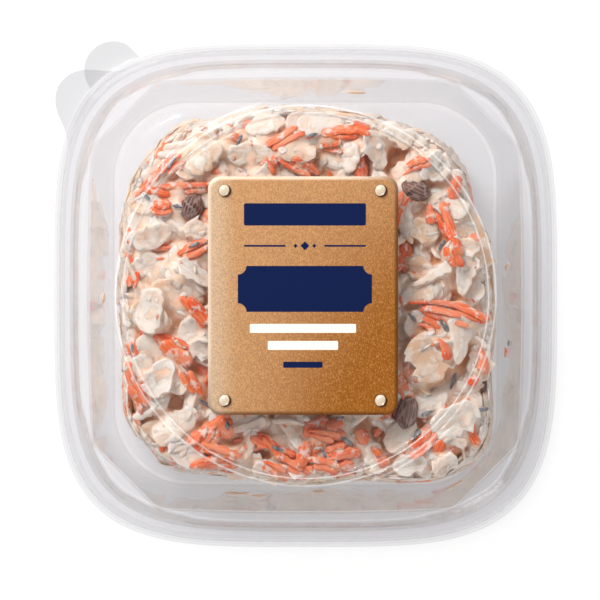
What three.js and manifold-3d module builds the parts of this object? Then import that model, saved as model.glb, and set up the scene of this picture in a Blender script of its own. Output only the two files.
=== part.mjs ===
// Coleslaw in a clear square tub with a push-on lid, a gold label and three raisins.
// Millimetres, +Z up. The origin is the middle of the tub's underside, +Y is the label's top edge.
import * as THREE from 'three';
import { mergeVertices } from 'three/addons/utils/BufferGeometryUtils.js';
import Module from 'manifold-3d';

const wasm = await Module();
wasm.setup();

// ---------------------------------------------------------------- driving dimensions

const RIM_HALF = 70;            // middle of a side to the tub's centre, at the lid's outer edge
const RIM_SQUARENESS = 3.9;     // exponent of the bulging square that the rim follows
const LID_TOP = 50;             // top of the lid's flange
const LID_PANEL = 46.4;         // top of the lid's sunk panel
const LID_WALL = 0.6;
const TUB_WALL = 0.7;
const PLUG_HALF = 64;           // where the lid's flange turns down into its plug
const PLUG_DRAFT = 1.1;         // how far the plug narrows on its way down
const FLANGE_HALF = 68.3;       // where the lid's flat flange turns down into its skirt
const SKIRT_BOTTOM = 47.2;
const LEDGE = 45.4;             // top of the tub's flat ledge round its mouth
const MOUTH_HALF = 60.3;        // middle of a side of the eight-sided mouth
const MOUTH_BOW = 1;            // how far each long side of the mouth bows out
const MOUTH_VERTEX = 41.2;      // from the middle of a long side to its corner
const FLOOR_HALF = 55.7;        // the rounded square where the wall meets the floor
const FLOOR_CORNER = 22;
const PANEL_HALF = 46.5;        // raised middle of the floor, inside the foot ring
const PANEL_CORNER = 17.6;
const PANEL_RISE = 1;
const PANEL_RAMP = 1.2;         // width of the slope round the raised panel
const CREASE = 2.2;             // rounding where the wall meets the floor
const MOUTH_ROUND = 0.5;        // rounding of the mouth's edge
const LIP_FLARE = 0.2;          // how far the tub's lip leans out on its way down
const TAB_DROP = 0.4;           // the tub's tab below the end of its lip
const BEAD_RADII = [48.9, 50.3, 53, 55.8];  // stacking ring on the lid: foot, crest, crest, foot
const BEAD_RISE = 1.7;
const TAB_RADIUS = 8.06;
const LID_TAB = [-53.5, 62.7];
const TUB_TAB = [-61.6, 54.7];
const TAB_FILLET = 9;           // how widely a tab's sides flow into the rim
const GAP = 0.3;                // air between two pieces that lie against each other

const LABEL_SIZE = [53, 66.5];
const LABEL_CENTRE = [-0.75, 0];
const LABEL_CORNER = 3.6;
const LABEL_THICKNESS = 0.7;
const LABEL_BEVEL = 0.35;
const STUD_RADIUS = 1.8;
const STUD_HEIGHT = 0.9;
const STUD_INSET = [4.75, 4];   // from the label's sides to a stud's centre
const STUD_RINGS = 2;
const STUD_SIDES = 10;
const LABEL_EDGE = 0.1;         // height of the label's edge between its two bevels
const LABEL_LIFT = 0.1;         // film of glue between the lid and the label

const HEAP_CENTRE = 41.5;       // height of the salad under the label
const HEAP_EDGE = 35.5;         // height where its top rolls over into its side
const HEAP_INSET = 1.6;         // the bare core inside the outline of the shreds
const WALL_CLEAR = 0.9;         // from the foot of the wall to the shreds
const HEAP_LEAN = 2;            // how far the heap's side leans in on its way up
const CORNER_FILL = [0.86, 0.9, 0.94, 0.99];  // how full each corner is: +X+Y, -X+Y, -X-Y, +X-Y
const CARROT_SECTION = [3, 2.2];
const CABBAGE_THICKNESS = 1.1;
const BROAD = 6;                // width from which a shred of leaf is cupped
const SHREDS_ON_TOP = 58;
const SHREDS_ON_SIDES = 38;

// Carrot sticks that stand out on top of the heap: x, y, heading in degrees, length.
const CARROTS = [
  [-37, 30.3, 4, 20.3], [-37.6, 37, 35, 9], [-6.7, 44.6, 28, 12], [10.8, 45.8, -2, 13],
  [31, 36, 22, 9], [39.8, 20.6, -57, 15], [39.5, -3.5, -14, 27], [-37.7, -15.9, -35, 14.5],
  [-32.9, -23.8, -64, 11], [-47.6, -24.2, -75, 15.5], [-25.4, -37.5, 34, 12], [-7.5, -43.4, -33, 14.5],
  [5.4, -44.4, -10, 15], [32.9, -40.8, 40, 11.5], [46.6, 32, 67, 12], [-31.4, 13.3, 12, 11],
  [-32.6, -3.6, -42, 15.5], [-47.2, 3.4, -60, 9], [3.5, -37.4, 30, 12], [49.4, -18, -71, 9.5],
];

// Raisins: centre x and y, then length, width and height, heading in degrees.
const RAISINS = [
  [-32, 24.8, 7.6, 6.6, 5.2, 70],
  [31, 29.6, 8.4, 6.2, 5.2, -25],
  [28.5, -32.9, 9.4, 6.4, 5.4, 80],
];
const RAISIN_SUNK = 0.2;        // share of a raisin's height that lies in the salad

// ---------------------------------------------------------------- outlines, as radius by angle

const EIGHTH = Math.PI / 4;
const QUARTER = Math.PI / 2;

function folded(angle) {
  const a = ((angle % QUARTER) + QUARTER) % QUARTER;
  return Math.min(a, QUARTER - a);
}

const circle = (radius) => () => radius;

const superellipse = (half, power = RIM_SQUARENESS) => (angle) => {
  const sum = Math.abs(Math.cos(angle)) ** power + Math.abs(Math.sin(angle)) ** power;
  return half / sum ** (1 / power);
};

const roundedSquare = (half, corner) => (angle) => {
  const a = folded(angle);
  const straight = half - corner;
  if (Math.tan(a) * half <= straight) return half / Math.cos(a);
  const sum = Math.cos(a) + Math.sin(a);
  return straight * sum + Math.sqrt(corner ** 2 - straight ** 2 * (2 - sum ** 2));
};

// A square with bowed sides and its corners cut off straight.
const eightSided = (half, vertex, bow) => (angle) => {
  const a = folded(angle);
  const cornerX = half - bow;
  if (Math.tan(a) * cornerX >= vertex) return (cornerX + vertex) / (Math.cos(a) + Math.sin(a));
  const bend = bow * (Math.sin(a) / vertex) ** 2;
  return (2 * half) / (Math.cos(a) + Math.sqrt(Math.cos(a) ** 2 + 4 * bend * half));
};

const grown = (outline, by) => (angle) => outline(angle) + by;
const between = (a, b, share) => (angle) => a(angle) + (b(angle) - a(angle)) * share;

// ---------------------------------------------------------------- shapes

// Directions round the tub, closer together on the cut corners, with one on each corner of the mouth.
const vertexAngle = Math.atan2(MOUTH_VERTEX, MOUTH_HALF - MOUTH_BOW);
const SIDE_STEPS = 3;
const CORNER_STEPS = 2;

function directionsRound() {
  const eighth = [];
  for (let i = 0; i < SIDE_STEPS; i++) eighth.push((vertexAngle * i) / SIDE_STEPS);
  for (let i = 0; i < CORNER_STEPS; i++) {
    eighth.push(vertexAngle + ((EIGHTH - vertexAngle) * i) / CORNER_STEPS);
  }
  const mirrored = eighth.slice(1).reverse().map((a) => QUARTER - a);
  const quarter = [...eighth, EIGHTH, ...mirrored];
  return [0, 1, 2, 3].flatMap((turn) => quarter.map((a) => a + turn * QUARTER));
}

const DIRECTIONS = directionsRound();

// A closed skin through rings of [outline, z]. The first and the last entry are points on the axis,
// [null, z], and the rings run from the underside outwards, up and back to the axis.
function loft(rings, directions = DIRECTIONS) {
  const count = directions.length;
  const positions = [];
  const starts = [];
  for (const [outline, z] of rings) {
    starts.push(positions.length / 3);
    if (!outline) {
      positions.push(0, 0, z);
      continue;
    }
    for (const angle of directions) {
      const r = outline(angle);
      positions.push(r * Math.cos(angle), r * Math.sin(angle), typeof z === 'function' ? z(angle, r) : z);
    }
  }
  const index = [];
  for (let ring = 0; ring + 1 < rings.length; ring++) {
    for (let i = 0; i < count; i++) {
      const next = (i + 1) % count;
      const [low, high] = [starts[ring], starts[ring + 1]];
      if (!rings[ring][0]) index.push(low, high + next, high + i);
      else if (!rings[ring + 1][0]) index.push(low + i, low + next, high);
      else index.push(low + i, low + next, high + next, low + i, high + next, high + i);
    }
  }
  const geometry = new THREE.BufferGeometry();
  geometry.setAttribute('position', new THREE.Float32BufferAttribute(positions, 3));
  geometry.setIndex(index);
  return geometry;
}

function solid(geometry) {
  geometry.deleteAttribute('normal');
  geometry.deleteAttribute('uv');
  const welded = mergeVertices(geometry, 1e-5);
  return new wasm.Manifold(new wasm.Mesh({
    numProp: 3,
    vertProperties: new Float32Array(welded.attributes.position.array),
    triVerts: new Uint32Array(welded.index.array),
  }));
}

function geometryOf(manifold) {
  const { vertProperties, triVerts } = manifold.getMesh();
  const geometry = new THREE.BufferGeometry();
  geometry.setAttribute('position', new THREE.BufferAttribute(vertProperties, 3));
  geometry.setIndex(new THREE.BufferAttribute(triVerts, 1));
  return geometry;
}

// The largest body of a solid, without loose scraps or sealed hollows.
function mainBody(manifold) {
  return manifold.decompose().reduce((a, b) => (a.volume() > b.volume() ? a : b));
}

// ---------------------------------------------------------------- the rim's pull tabs

const TAB_SPREAD = 0.3;         // half of the angle that a tab and its flanks take up, in radians
const TAB_STEPS = 24;
const TAB_ROOT = 1;             // how far a tab reaches into the rim that carries it

// A rounded tab that flows into the rim's outline, from z up to z + thickness.
function tab(centre, rim, z, thickness) {
  const middle = Math.atan2(centre[1], centre[0]);
  const outside = (angle, r) => {
    const fromRim = r - rim(angle);
    const fromTab = Math.hypot(r * Math.cos(angle) - centre[0], r * Math.sin(angle) - centre[1]) - TAB_RADIUS;
    const overlap = Math.max(TAB_FILLET - Math.abs(fromRim - fromTab), 0) / TAB_FILLET;
    return Math.min(fromRim, fromTab) - (overlap ** 2 * TAB_FILLET) / 4;
  };
  const reach = (angle) => {
    let low = rim(angle) - TAB_ROOT;
    let high = rim(angle) + 2 * TAB_RADIUS;
    while (high - low > 0.001) {
      const half = (low + high) / 2;
      if (outside(angle, half) > 0) high = half;
      else low = half;
    }
    return low;
  };
  const outer = [];
  const inner = [];
  for (let i = 0; i <= TAB_STEPS; i++) {
    const angle = middle + TAB_SPREAD * ((2 * i) / TAB_STEPS - 1);
    const at = (r) => new THREE.Vector2(r * Math.cos(angle), r * Math.sin(angle));
    outer.push(at(Math.max(reach(angle), rim(angle) - TAB_ROOT / 2)));
    if (i % 4 === 0) inner.push(at(rim(angle) - TAB_ROOT));
  }
  const plan = new THREE.Shape([...outer, ...inner.reverse()]);
  const plate = new THREE.ExtrudeGeometry(plan, { depth: thickness, bevelEnabled: false });
  return solid(plate.translate(0, 0, z));
}

// ---------------------------------------------------------------- tub

const mouth = eightSided(MOUTH_HALF, MOUTH_VERTEX, MOUTH_BOW);
const floorLine = roundedSquare(FLOOR_HALF, FLOOR_CORNER);
const floorPanel = roundedSquare(PANEL_HALF, PANEL_CORNER);
const waist = between(floorLine, mouth, 0.5);   // the wall half-way up
const WAIST_HEIGHT = (TUB_WALL + LEDGE) / 2;
const CREASE_SHARE = 0.3;       // how far the crease's middle lies from its corner

function tubGeometry() {
  const rimFoot = superellipse(PLUG_HALF - PLUG_DRAFT + LID_WALL + GAP);
  const rimTop = superellipse(PLUG_HALF + LID_WALL + GAP);
  const flangeTop = LID_TOP - LID_WALL - GAP;
  const lipHalf = FLANGE_HALF - LID_WALL;
  const lipBottom = SKIRT_BOTTOM - LID_WALL;
  const lip = superellipse(lipHalf + LIP_FLARE + TUB_WALL);
  const outside = [
    [null, PANEL_RISE],
    [floorPanel, PANEL_RISE],
    [grown(floorPanel, PANEL_RAMP), 0],
    [grown(floorLine, TUB_WALL - CREASE), 0],
    [grown(floorLine, TUB_WALL - CREASE_SHARE * CREASE), CREASE_SHARE * CREASE],
    [grown(floorLine, TUB_WALL), CREASE],
    [grown(waist, TUB_WALL), WAIST_HEIGHT],
    [grown(mouth, TUB_WALL), LEDGE - TUB_WALL - MOUTH_ROUND],
    [grown(mouth, TUB_WALL + MOUTH_ROUND), LEDGE - TUB_WALL],
    [grown(rimFoot, TUB_WALL), LEDGE - TUB_WALL],
    [grown(rimTop, TUB_WALL), flangeTop - TUB_WALL],
    [superellipse(lipHalf - TUB_WALL), flangeTop - TUB_WALL],
    [superellipse(lipHalf + LIP_FLARE), lipBottom],
  ];
  const inside = [
    [lip, lipBottom],
    [superellipse(lipHalf + LIP_FLARE / 2), flangeTop - MOUTH_ROUND],
    [superellipse(lipHalf - MOUTH_ROUND), flangeTop],
    [rimTop, flangeTop],
    [rimFoot, LEDGE],
    [grown(mouth, MOUTH_ROUND), LEDGE],
    [mouth, LEDGE - MOUTH_ROUND],
    [waist, WAIST_HEIGHT],
    [floorLine, TUB_WALL + CREASE],
    [grown(floorLine, -CREASE_SHARE * CREASE), TUB_WALL + CREASE_SHARE * CREASE],
    [grown(floorLine, -CREASE), TUB_WALL],
    [grown(floorPanel, PANEL_RAMP), TUB_WALL],
    [floorPanel, TUB_WALL + PANEL_RISE],
    [null, TUB_WALL + PANEL_RISE],
  ];
  const pullTab = tab(TUB_TAB, lip, lipBottom - TAB_DROP, TUB_WALL);
  return geometryOf(mainBody(solid(loft([...outside, ...inside])).add(pullTab)));
}

// ---------------------------------------------------------------- lid

const PLUG_ROUND = 0.5;         // rounding at the plug's foot and at the flange's inner edge
const SKIRT_BEND = [0.9, 1];    // out and down from the flange's edge to the skirt

function lidGeometry() {
  const plugTop = superellipse(PLUG_HALF);
  const plugFoot = superellipse(PLUG_HALF - PLUG_DRAFT);
  const skirt = superellipse(RIM_HALF);
  const under = LID_PANEL - LID_WALL;
  const flangeUnder = LID_TOP - LID_WALL;
  const [beadIn, crestIn, crestOut, beadOut] = BEAD_RADII;
  const underside = [
    [null, under],
    [circle(beadIn), under],
    [circle(crestIn + LID_WALL / 2), under + BEAD_RISE],
    [circle(crestOut - LID_WALL / 2), under + BEAD_RISE],
    [circle(beadOut), under],
    [grown(plugFoot, LID_WALL - PLUG_ROUND / 2), under],
    [grown(plugFoot, LID_WALL), under + PLUG_ROUND],
    [grown(plugTop, LID_WALL), flangeUnder],
    [superellipse(FLANGE_HALF - LID_WALL / 2), flangeUnder],
    [superellipse(FLANGE_HALF + SKIRT_BEND[0] - LID_WALL), flangeUnder - SKIRT_BEND[1] + LID_WALL / 2],
    [superellipse(RIM_HALF - LID_WALL), SKIRT_BOTTOM],
  ];
  const top = [
    [skirt, SKIRT_BOTTOM],
    [skirt, SKIRT_BOTTOM + PLUG_ROUND],
    [superellipse(FLANGE_HALF + SKIRT_BEND[0]), LID_TOP - SKIRT_BEND[1]],
    [superellipse(FLANGE_HALF), LID_TOP],
    [grown(plugTop, PLUG_ROUND / 2), LID_TOP],
    [plugTop, LID_TOP - PLUG_ROUND],
    [plugFoot, LID_PANEL + PLUG_ROUND],
    [grown(plugFoot, -PLUG_ROUND), LID_PANEL],
    [circle(beadOut), LID_PANEL],
    [circle(crestOut), LID_PANEL + BEAD_RISE],
    [circle(crestIn), LID_PANEL + BEAD_RISE],
    [circle(beadIn), LID_PANEL],
    [null, LID_PANEL],
  ];
  const pullTab = tab(LID_TAB, skirt, SKIRT_BOTTOM, LID_WALL);
  return geometryOf(mainBody(solid(loft([...underside, ...top])).add(pullTab)));
}

// ---------------------------------------------------------------- label

function labelGeometry() {
  const [width, height] = LABEL_SIZE;
  const [x, y] = [width / 2 - LABEL_BEVEL, height / 2 - LABEL_BEVEL];
  const r = LABEL_CORNER - LABEL_BEVEL;
  const plan = new THREE.Shape();
  plan.absarc(x - r, y - r, r, 0, QUARTER);
  plan.absarc(r - x, y - r, r, QUARTER, 2 * QUARTER);
  plan.absarc(r - x, r - y, r, 2 * QUARTER, 3 * QUARTER);
  plan.absarc(x - r, r - y, r, 3 * QUARTER, 4 * QUARTER);
  const bevelHeight = (LABEL_THICKNESS - LABEL_EDGE) / 2;
  const plate = new THREE.ExtrudeGeometry(plan, {
    depth: LABEL_EDGE,
    bevelThickness: bevelHeight,
    bevelSize: LABEL_BEVEL,
    bevelSegments: 1,
    curveSegments: 4,
  });
  plate.translate(0, 0, bevelHeight);
  let label = solid(plate);
  const capRadius = (STUD_RADIUS ** 2 + STUD_HEIGHT ** 2) / (2 * STUD_HEIGHT);
  const rise = Math.asin(STUD_RADIUS / capRadius);
  const profile = [new THREE.Vector2(0, LABEL_THICKNESS / 2), new THREE.Vector2(STUD_RADIUS, LABEL_THICKNESS / 2)];
  for (let i = 0; i < STUD_RINGS; i++) {
    const a = rise * (1 - i / STUD_RINGS);
    const z = LABEL_THICKNESS + STUD_HEIGHT - capRadius * (1 - Math.cos(a));
    profile.push(new THREE.Vector2(capRadius * Math.sin(a), z));
  }
  profile.push(new THREE.Vector2(0, LABEL_THICKNESS + STUD_HEIGHT));
  for (const sideX of [-1, 1]) {
    for (const sideY of [-1, 1]) {
      const stud = new THREE.LatheGeometry(profile, STUD_SIDES).rotateX(QUARTER);
      const [dx, dy] = [sideX * (width / 2 - STUD_INSET[0]), sideY * (height / 2 - STUD_INSET[1])];
      label = label.add(solid(stud.translate(dx, dy, 0)));
    }
  }
  return geometryOf(mainBody(label));
}

// ---------------------------------------------------------------- random draws, the same each run

let seed = 20;

function random(low = 0, high = 1) {
  seed = (seed + 0x6d2b79f5) | 0;
  let t = Math.imul(seed ^ (seed >>> 15), 1 | seed);
  t = (t + Math.imul(t ^ (t >>> 7), 61 | t)) ^ t;
  return low + (high - low) * (((t ^ (t >>> 14)) >>> 0) / 2 ** 32);
}

// ---------------------------------------------------------------- salad

// How full the heap is towards each corner, flowing from one corner to the next.
function fill(angle) {
  const turn = (((angle / QUARTER) % 4) + 4) % 4;
  const corner = CORNER_FILL[Math.floor(turn)];
  return 1 - (1 - corner) * Math.sin((turn % 1) * Math.PI) ** 2;
}

const ragged = (angle) => 0.5 * Math.sin(7 * angle + 1) + 0.4 * Math.sin(13 * angle + 4);
const heapLine = (angle) => (floorLine(angle) - WALL_CLEAR) * fill(angle) - HEAP_INSET + ragged(angle);

// The heap leans in a little on its way up, with dents and bulges.
const sideLine = (z) => (angle) => heapLine(angle) - (HEAP_LEAN * z) / HEAP_EDGE + 0.6 * Math.sin(9 * angle + z / 3);

function heapTop(x, y) {
  const share = Math.min(Math.hypot(x, y) / heapLine(Math.atan2(y, x)), 1);
  const swell = 0.9 * Math.sin(x / 6 + 1) * Math.cos(y / 7) + 0.6 * Math.sin(x / 3.4 - y / 4.1);
  return HEAP_CENTRE + (HEAP_EDGE - HEAP_CENTRE) * share ** 3 + swell;
}

const CORE_SIDES = 32;
const CORE_SHARES = [0.9, 0.76, 0.6, 0.42, 0.22];
const HEAP_BOTTOM = TUB_WALL + GAP;

function heapCore() {
  const directions = Array.from({ length: CORE_SIDES }, (_, i) => (2 * Math.PI * i) / CORE_SIDES);
  const topRings = CORE_SHARES.map((share) => [
    (angle) => heapLine(angle) * share,
    (angle, r) => heapTop(r * Math.cos(angle), r * Math.sin(angle)),
  ]);
  return solid(loft([
    [null, HEAP_BOTTOM + PANEL_RISE],
    [floorPanel, HEAP_BOTTOM + PANEL_RISE],
    [grown(floorPanel, PANEL_RAMP), HEAP_BOTTOM],
    [grown(heapLine, -HEAP_BOTTOM), HEAP_BOTTOM],
    [heapLine, 3 * HEAP_BOTTOM],
    [sideLine(HEAP_EDGE * 0.4), HEAP_EDGE * 0.4],
    [sideLine(HEAP_EDGE * 0.7), HEAP_EDGE * 0.7],
    [sideLine(HEAP_EDGE * 0.9), HEAP_EDGE * 0.9],
    [grown(sideLine(HEAP_EDGE), -HEAP_LEAN), HEAP_EDGE - 1],
    ...topRings,
    [null, heapTop(0, 0)],
  ], directions));
}

// Where a shred lies: on top of the heap, or against its side, as (u, v, height) to a point.
const onTop = (u, v, up) => new THREE.Vector3(u, v, heapTop(u, v) + up);
const SIDE_RADIUS = 56;

function onSide(u, v, up) {
  const angle = u / SIDE_RADIUS;
  const r = sideLine(v)(angle) + up;
  return new THREE.Vector3(r * Math.cos(angle), r * Math.sin(angle), v);
}

// Lays a flat box with its middle at (u, v): bent in plan, narrower at its ends and cupped across.
function lay(box, surface, { u, v, heading, bend, taper, cup, lift, pitch, roll, wave }) {
  const { width } = box.parameters;
  const position = box.attributes.position;
  for (let i = 0; i < position.count; i++) {
    const along = position.getX(i);
    const share = (2 * along) / width;
    const across = position.getY(i) * (1 - taper * share ** 2) + bend * share ** 2;
    const up = position.getZ(i) + lift + pitch * along + roll * across + cup * across ** 2
      + wave * Math.sin(2.2 * share + u);
    const [c, s] = [Math.cos(heading), Math.sin(heading)];
    const point = surface(u + along * c - across * s, v + along * s + across * c, up);
    position.setXYZ(i, point.x, point.y, point.z);
  }
  return solid(box);
}

function carrot(surface, u, v, headingDegrees, length) {
  const [width, height] = CARROT_SECTION;
  const box = new THREE.BoxGeometry(length, width * random(0.8, 1.1), height, 4, 1, 1);
  return lay(box, surface, {
    u, v, heading: THREE.MathUtils.degToRad(headingDegrees), bend: random(-0.08, 0.08) * length,
    taper: random(0.1, 0.4), cup: 0, lift: random(0.5, 1), pitch: random(-0.03, 0.03), roll: 0,
    wave: random(-0.3, 0.3),
  });
}

// A narrow shred of leaf is a bent strip, and a broad one is cupped along its middle too.
function cabbage(surface, u, v, length, width) {
  const columns = width > BROAD ? 2 : 1;
  const box = new THREE.BoxGeometry(length, width, CABBAGE_THICKNESS, 3, columns, 1);
  return lay(box, surface, {
    u, v, heading: random(0, Math.PI), bend: random(-0.16, 0.16) * length, taper: random(0.3, 0.6),
    cup: random(-0.06, 0.06), lift: random(0.2, 0.9), pitch: random(-0.16, 0.16),
    roll: random(-0.2, 0.2), wave: random(-0.5, 0.5),
  });
}

const raisinSpots = RAISINS.map(([x, y]) => new THREE.Vector2(x, y));
const RAISIN_CLEAR = 7.5;

const nearRaisin = (x, y) => raisinSpots.some((spot) => spot.distanceTo({ x, y }) < RAISIN_CLEAR);

// The room inside the shut tub, clear of its walls, floor and lid.
function roomInTub() {
  const ceiling = LID_PANEL - LID_WALL - GAP;
  const clear = 1.5 * GAP;
  return solid(loft([
    [null, HEAP_BOTTOM + PANEL_RISE],
    [floorPanel, HEAP_BOTTOM + PANEL_RISE],
    [grown(floorPanel, PANEL_RAMP), HEAP_BOTTOM],
    [grown(floorLine, -CREASE - clear), HEAP_BOTTOM],
    [grown(floorLine, -clear), TUB_WALL + CREASE],
    [grown(waist, -clear), WAIST_HEIGHT],
    [grown(mouth, -clear), LEDGE - MOUTH_ROUND],
    [grown(mouth, -clear), ceiling],
    [null, ceiling],
  ]));
}

function slawGeometry() {
  const shreds = CARROTS.map(([x, y, heading, length]) => carrot(onTop, x, y, heading, length));
  for (let i = 0; i < SHREDS_ON_TOP; i++) {
    const angle = i * Math.PI * (3 - Math.sqrt(5));
    const r = heapLine(angle) * Math.sqrt((i + 0.7) / SHREDS_ON_TOP) * 0.95;
    const [x, y] = [r * Math.cos(angle), r * Math.sin(angle)];
    const [length, width] = [random(9, 18), random(3.2, 7.4)];
    if (!nearRaisin(x, y)) shreds.push(cabbage(onTop, x, y, length, width));
  }
  for (let i = 0; i < SHREDS_ON_SIDES; i++) {
    const u = (2 * Math.PI * SIDE_RADIUS * i) / SHREDS_ON_SIDES;
    const v = 7 + ((i * 11) % 25);
    if (i % 3 === 0) shreds.push(carrot(onSide, u, v, random(-50, 50), random(9, 14)));
    else shreds.push(cabbage(onSide, u, v, random(9, 15), random(3.5, 7.4)));
  }
  let heap = heapCore();
  for (const shred of shreds) heap = heap.add(shred);
  heap = heap.intersect(roomInTub());
  for (const raisin of RAISINS) heap = heap.subtract(solid(raisinGeometry(raisin, GAP)));
  return geometryOf(mainBody(heap));
}

// ---------------------------------------------------------------- raisins

// A wrinkled oval, half sunk in the salad, with folds along its length.
function raisinGeometry([x, y, length, width, height, heading], extra = 0) {
  const shape = new THREE.SphereGeometry(1, 12, 7).rotateZ(QUARTER);
  const position = shape.attributes.position;
  for (let i = 0; i < position.count; i++) {
    const point = new THREE.Vector3().fromBufferAttribute(position, i);
    const round = Math.atan2(point.z, point.y);
    const fold = extra ? 1 : 1 - 0.07 * Math.max(Math.sin(5 * round + 1), 0) * (1 - point.x ** 2);
    position.setXYZ(
      i,
      point.x * (length / 2 + extra),
      point.y * fold * (width / 2 + extra),
      point.z * fold * (height / 2 + extra),
    );
  }
  shape.rotateZ(THREE.MathUtils.degToRad(heading));
  const z = heapTop(x, y) + height * (0.5 - RAISIN_SUNK) - 1;
  return shape.translate(x, y, z);
}

// ---------------------------------------------------------------- the packed tub

function piece(name, geometry, colour, roughness, metalness = 0) {
  geometry.computeVertexNormals();
  const material = new THREE.MeshStandardMaterial({ color: colour, roughness, metalness });
  const mesh = new THREE.Mesh(geometry, material);
  mesh.name = name;
  return mesh;
}

const pack = new THREE.Group();
pack.add(piece('tub', tubGeometry(), 0xe4e2e4, 0.08));
pack.add(piece('lid', lidGeometry(), 0xe8e6e8, 0.08));
pack.add(piece('slaw', slawGeometry(), 0xefe0cf, 0.3));
RAISINS.forEach((raisin, i) => {
  pack.add(piece(`raisin_${i + 1}`, geometryOf(solid(raisinGeometry(raisin))), 0x4a332b, 0.4));
});

const label = piece('label', labelGeometry(), 0xc08a4b, 0.35, 0.8);
label.position.set(LABEL_CENTRE[0], LABEL_CENTRE[1], LID_PANEL + LABEL_LIFT);
pack.add(label);

export default pack;
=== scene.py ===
"""Coleslaw in a clear square tub with a push-on lid, a gold label and three raisins.

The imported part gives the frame. This script dresses it: finer clear walls, a bevelled label
with its studs, and a heap of real shreds, sticks and dressing in place of the plain one.
"""

import math

import bpy
import numpy as np
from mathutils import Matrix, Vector
from mathutils.bvhtree import BVHTree


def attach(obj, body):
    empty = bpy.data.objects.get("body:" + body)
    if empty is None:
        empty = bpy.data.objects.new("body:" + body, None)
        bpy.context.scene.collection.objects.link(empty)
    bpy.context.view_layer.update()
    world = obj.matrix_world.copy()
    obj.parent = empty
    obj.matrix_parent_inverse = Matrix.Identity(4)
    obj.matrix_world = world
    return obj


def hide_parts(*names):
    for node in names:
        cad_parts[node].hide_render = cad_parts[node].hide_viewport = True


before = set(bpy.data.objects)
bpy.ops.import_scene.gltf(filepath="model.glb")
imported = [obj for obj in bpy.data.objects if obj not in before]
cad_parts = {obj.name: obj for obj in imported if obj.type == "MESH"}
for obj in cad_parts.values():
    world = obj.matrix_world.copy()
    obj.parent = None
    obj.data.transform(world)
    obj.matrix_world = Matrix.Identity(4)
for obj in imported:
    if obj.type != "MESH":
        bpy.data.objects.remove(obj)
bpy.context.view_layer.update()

# ---------------------------------------------------------------- sizes, in millimetres

MM = 0.001

RIM_HALF = 70.0
RIM_SQUARENESS = 3.9
LID_TOP = 50.0
LID_PANEL = 46.4
LID_WALL = 0.6
TUB_WALL = 0.7
PLUG_HALF = 64.0
PLUG_DRAFT = 1.1
FLANGE_HALF = 68.3
SKIRT_BOTTOM = 47.2
LEDGE = 45.4
MOUTH_HALF = 60.3
MOUTH_BOW = 1.0
MOUTH_VERTEX = 41.2
FLOOR_HALF = 55.7
FLOOR_CORNER = 22.0
PANEL_HALF = 46.5
PANEL_CORNER = 17.6
PANEL_RISE = 1.0
PANEL_RAMP = 1.2
CREASE = 2.2
FOOT_WIDTH = 3.3
FOOT_SLOPE = 1.1
FOOT_RISE = 0.45
LIP_FLARE = 0.2
TAB_DROP = 0.4
BEAD_RADII = (48.9, 49.9, 50.9, 53.0, 55.8)
SHOULDER_RISE = 0.52
BEAD_RISE = 1.7
TAB_RADIUS = 8.06
LID_TAB = (-53.5, 62.7)
TUB_TAB = (-61.6, 54.7)
TAB_FILLET = 9.0
GAP = 0.3
LID_FILLET = 3.15       # between the lid's rim and its tab
NOTCH = 0.55            # how far the plug wall steps in at the corners

LABEL_SIZE = (53.0, 66.5)
LABEL_CENTRE = (-0.75, 0.0)
LABEL_CORNER = 3.6
LABEL_THICKNESS = 0.7
LABEL_FOOT = LID_PANEL + 0.1
STUD_RADIUS = 1.8
STUD_HEIGHT = 1.1
STUD_INSET = (4.75, 4.0)

HEAP_CENTRE = 41.5
HEAP_EDGE = 35.5
HEAP_INSET = 1.6
WALL_CLEAR = 0.9
HEAP_LEAN = 2.0
CORNER_FILL = (0.86, 0.9, 0.94, 0.99)

RAISINS = (
    (-32.0, 24.8, 7.6, 6.6, 5.2, 70.0),
    (31.0, 29.6, 8.4, 6.2, 5.2, -25.0),
    (28.5, -32.9, 9.4, 6.4, 5.4, 80.0),
)
RAISIN_SUNK = 0.38

# ---------------------------------------------------------------- nodes and their sums


def sum_with(operation, swap=False):
    return lambda wire, other: wire.maths(operation, other, swap=swap)


class Wire:
    """One output of a node. A sum of wires and numbers adds the Math nodes that work it out."""

    def __init__(self, bench, socket):
        self.bench = bench
        self.socket = socket

    def out(self, name):
        return Wire(self.bench, self.socket.node.outputs[name])

    def maths(self, operation, *others, swap=False):
        values = (*others, self) if swap else (self, *others)
        return self.bench.add("ShaderNodeMath", dict(enumerate(values)), operation=operation)

    __add__ = __radd__ = sum_with("ADD")
    __sub__, __rsub__ = sum_with("SUBTRACT"), sum_with("SUBTRACT", swap=True)
    __mul__ = __rmul__ = sum_with("MULTIPLY")
    __truediv__, __rtruediv__ = sum_with("DIVIDE"), sum_with("DIVIDE", swap=True)
    __pow__, __gt__ = sum_with("POWER"), sum_with("GREATER_THAN")
    least, most = sum_with("MINIMUM"), sum_with("MAXIMUM")

    def __abs__(self):
        return self.maths("ABSOLUTE")

    def within(self, low, high):
        """0 at low, 1 at high, and flowing smoothly between them."""
        return self.bench.add("ShaderNodeMapRange", {0: self, 1: low, 2: high},
                              interpolation_type="SMOOTHSTEP")


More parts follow.
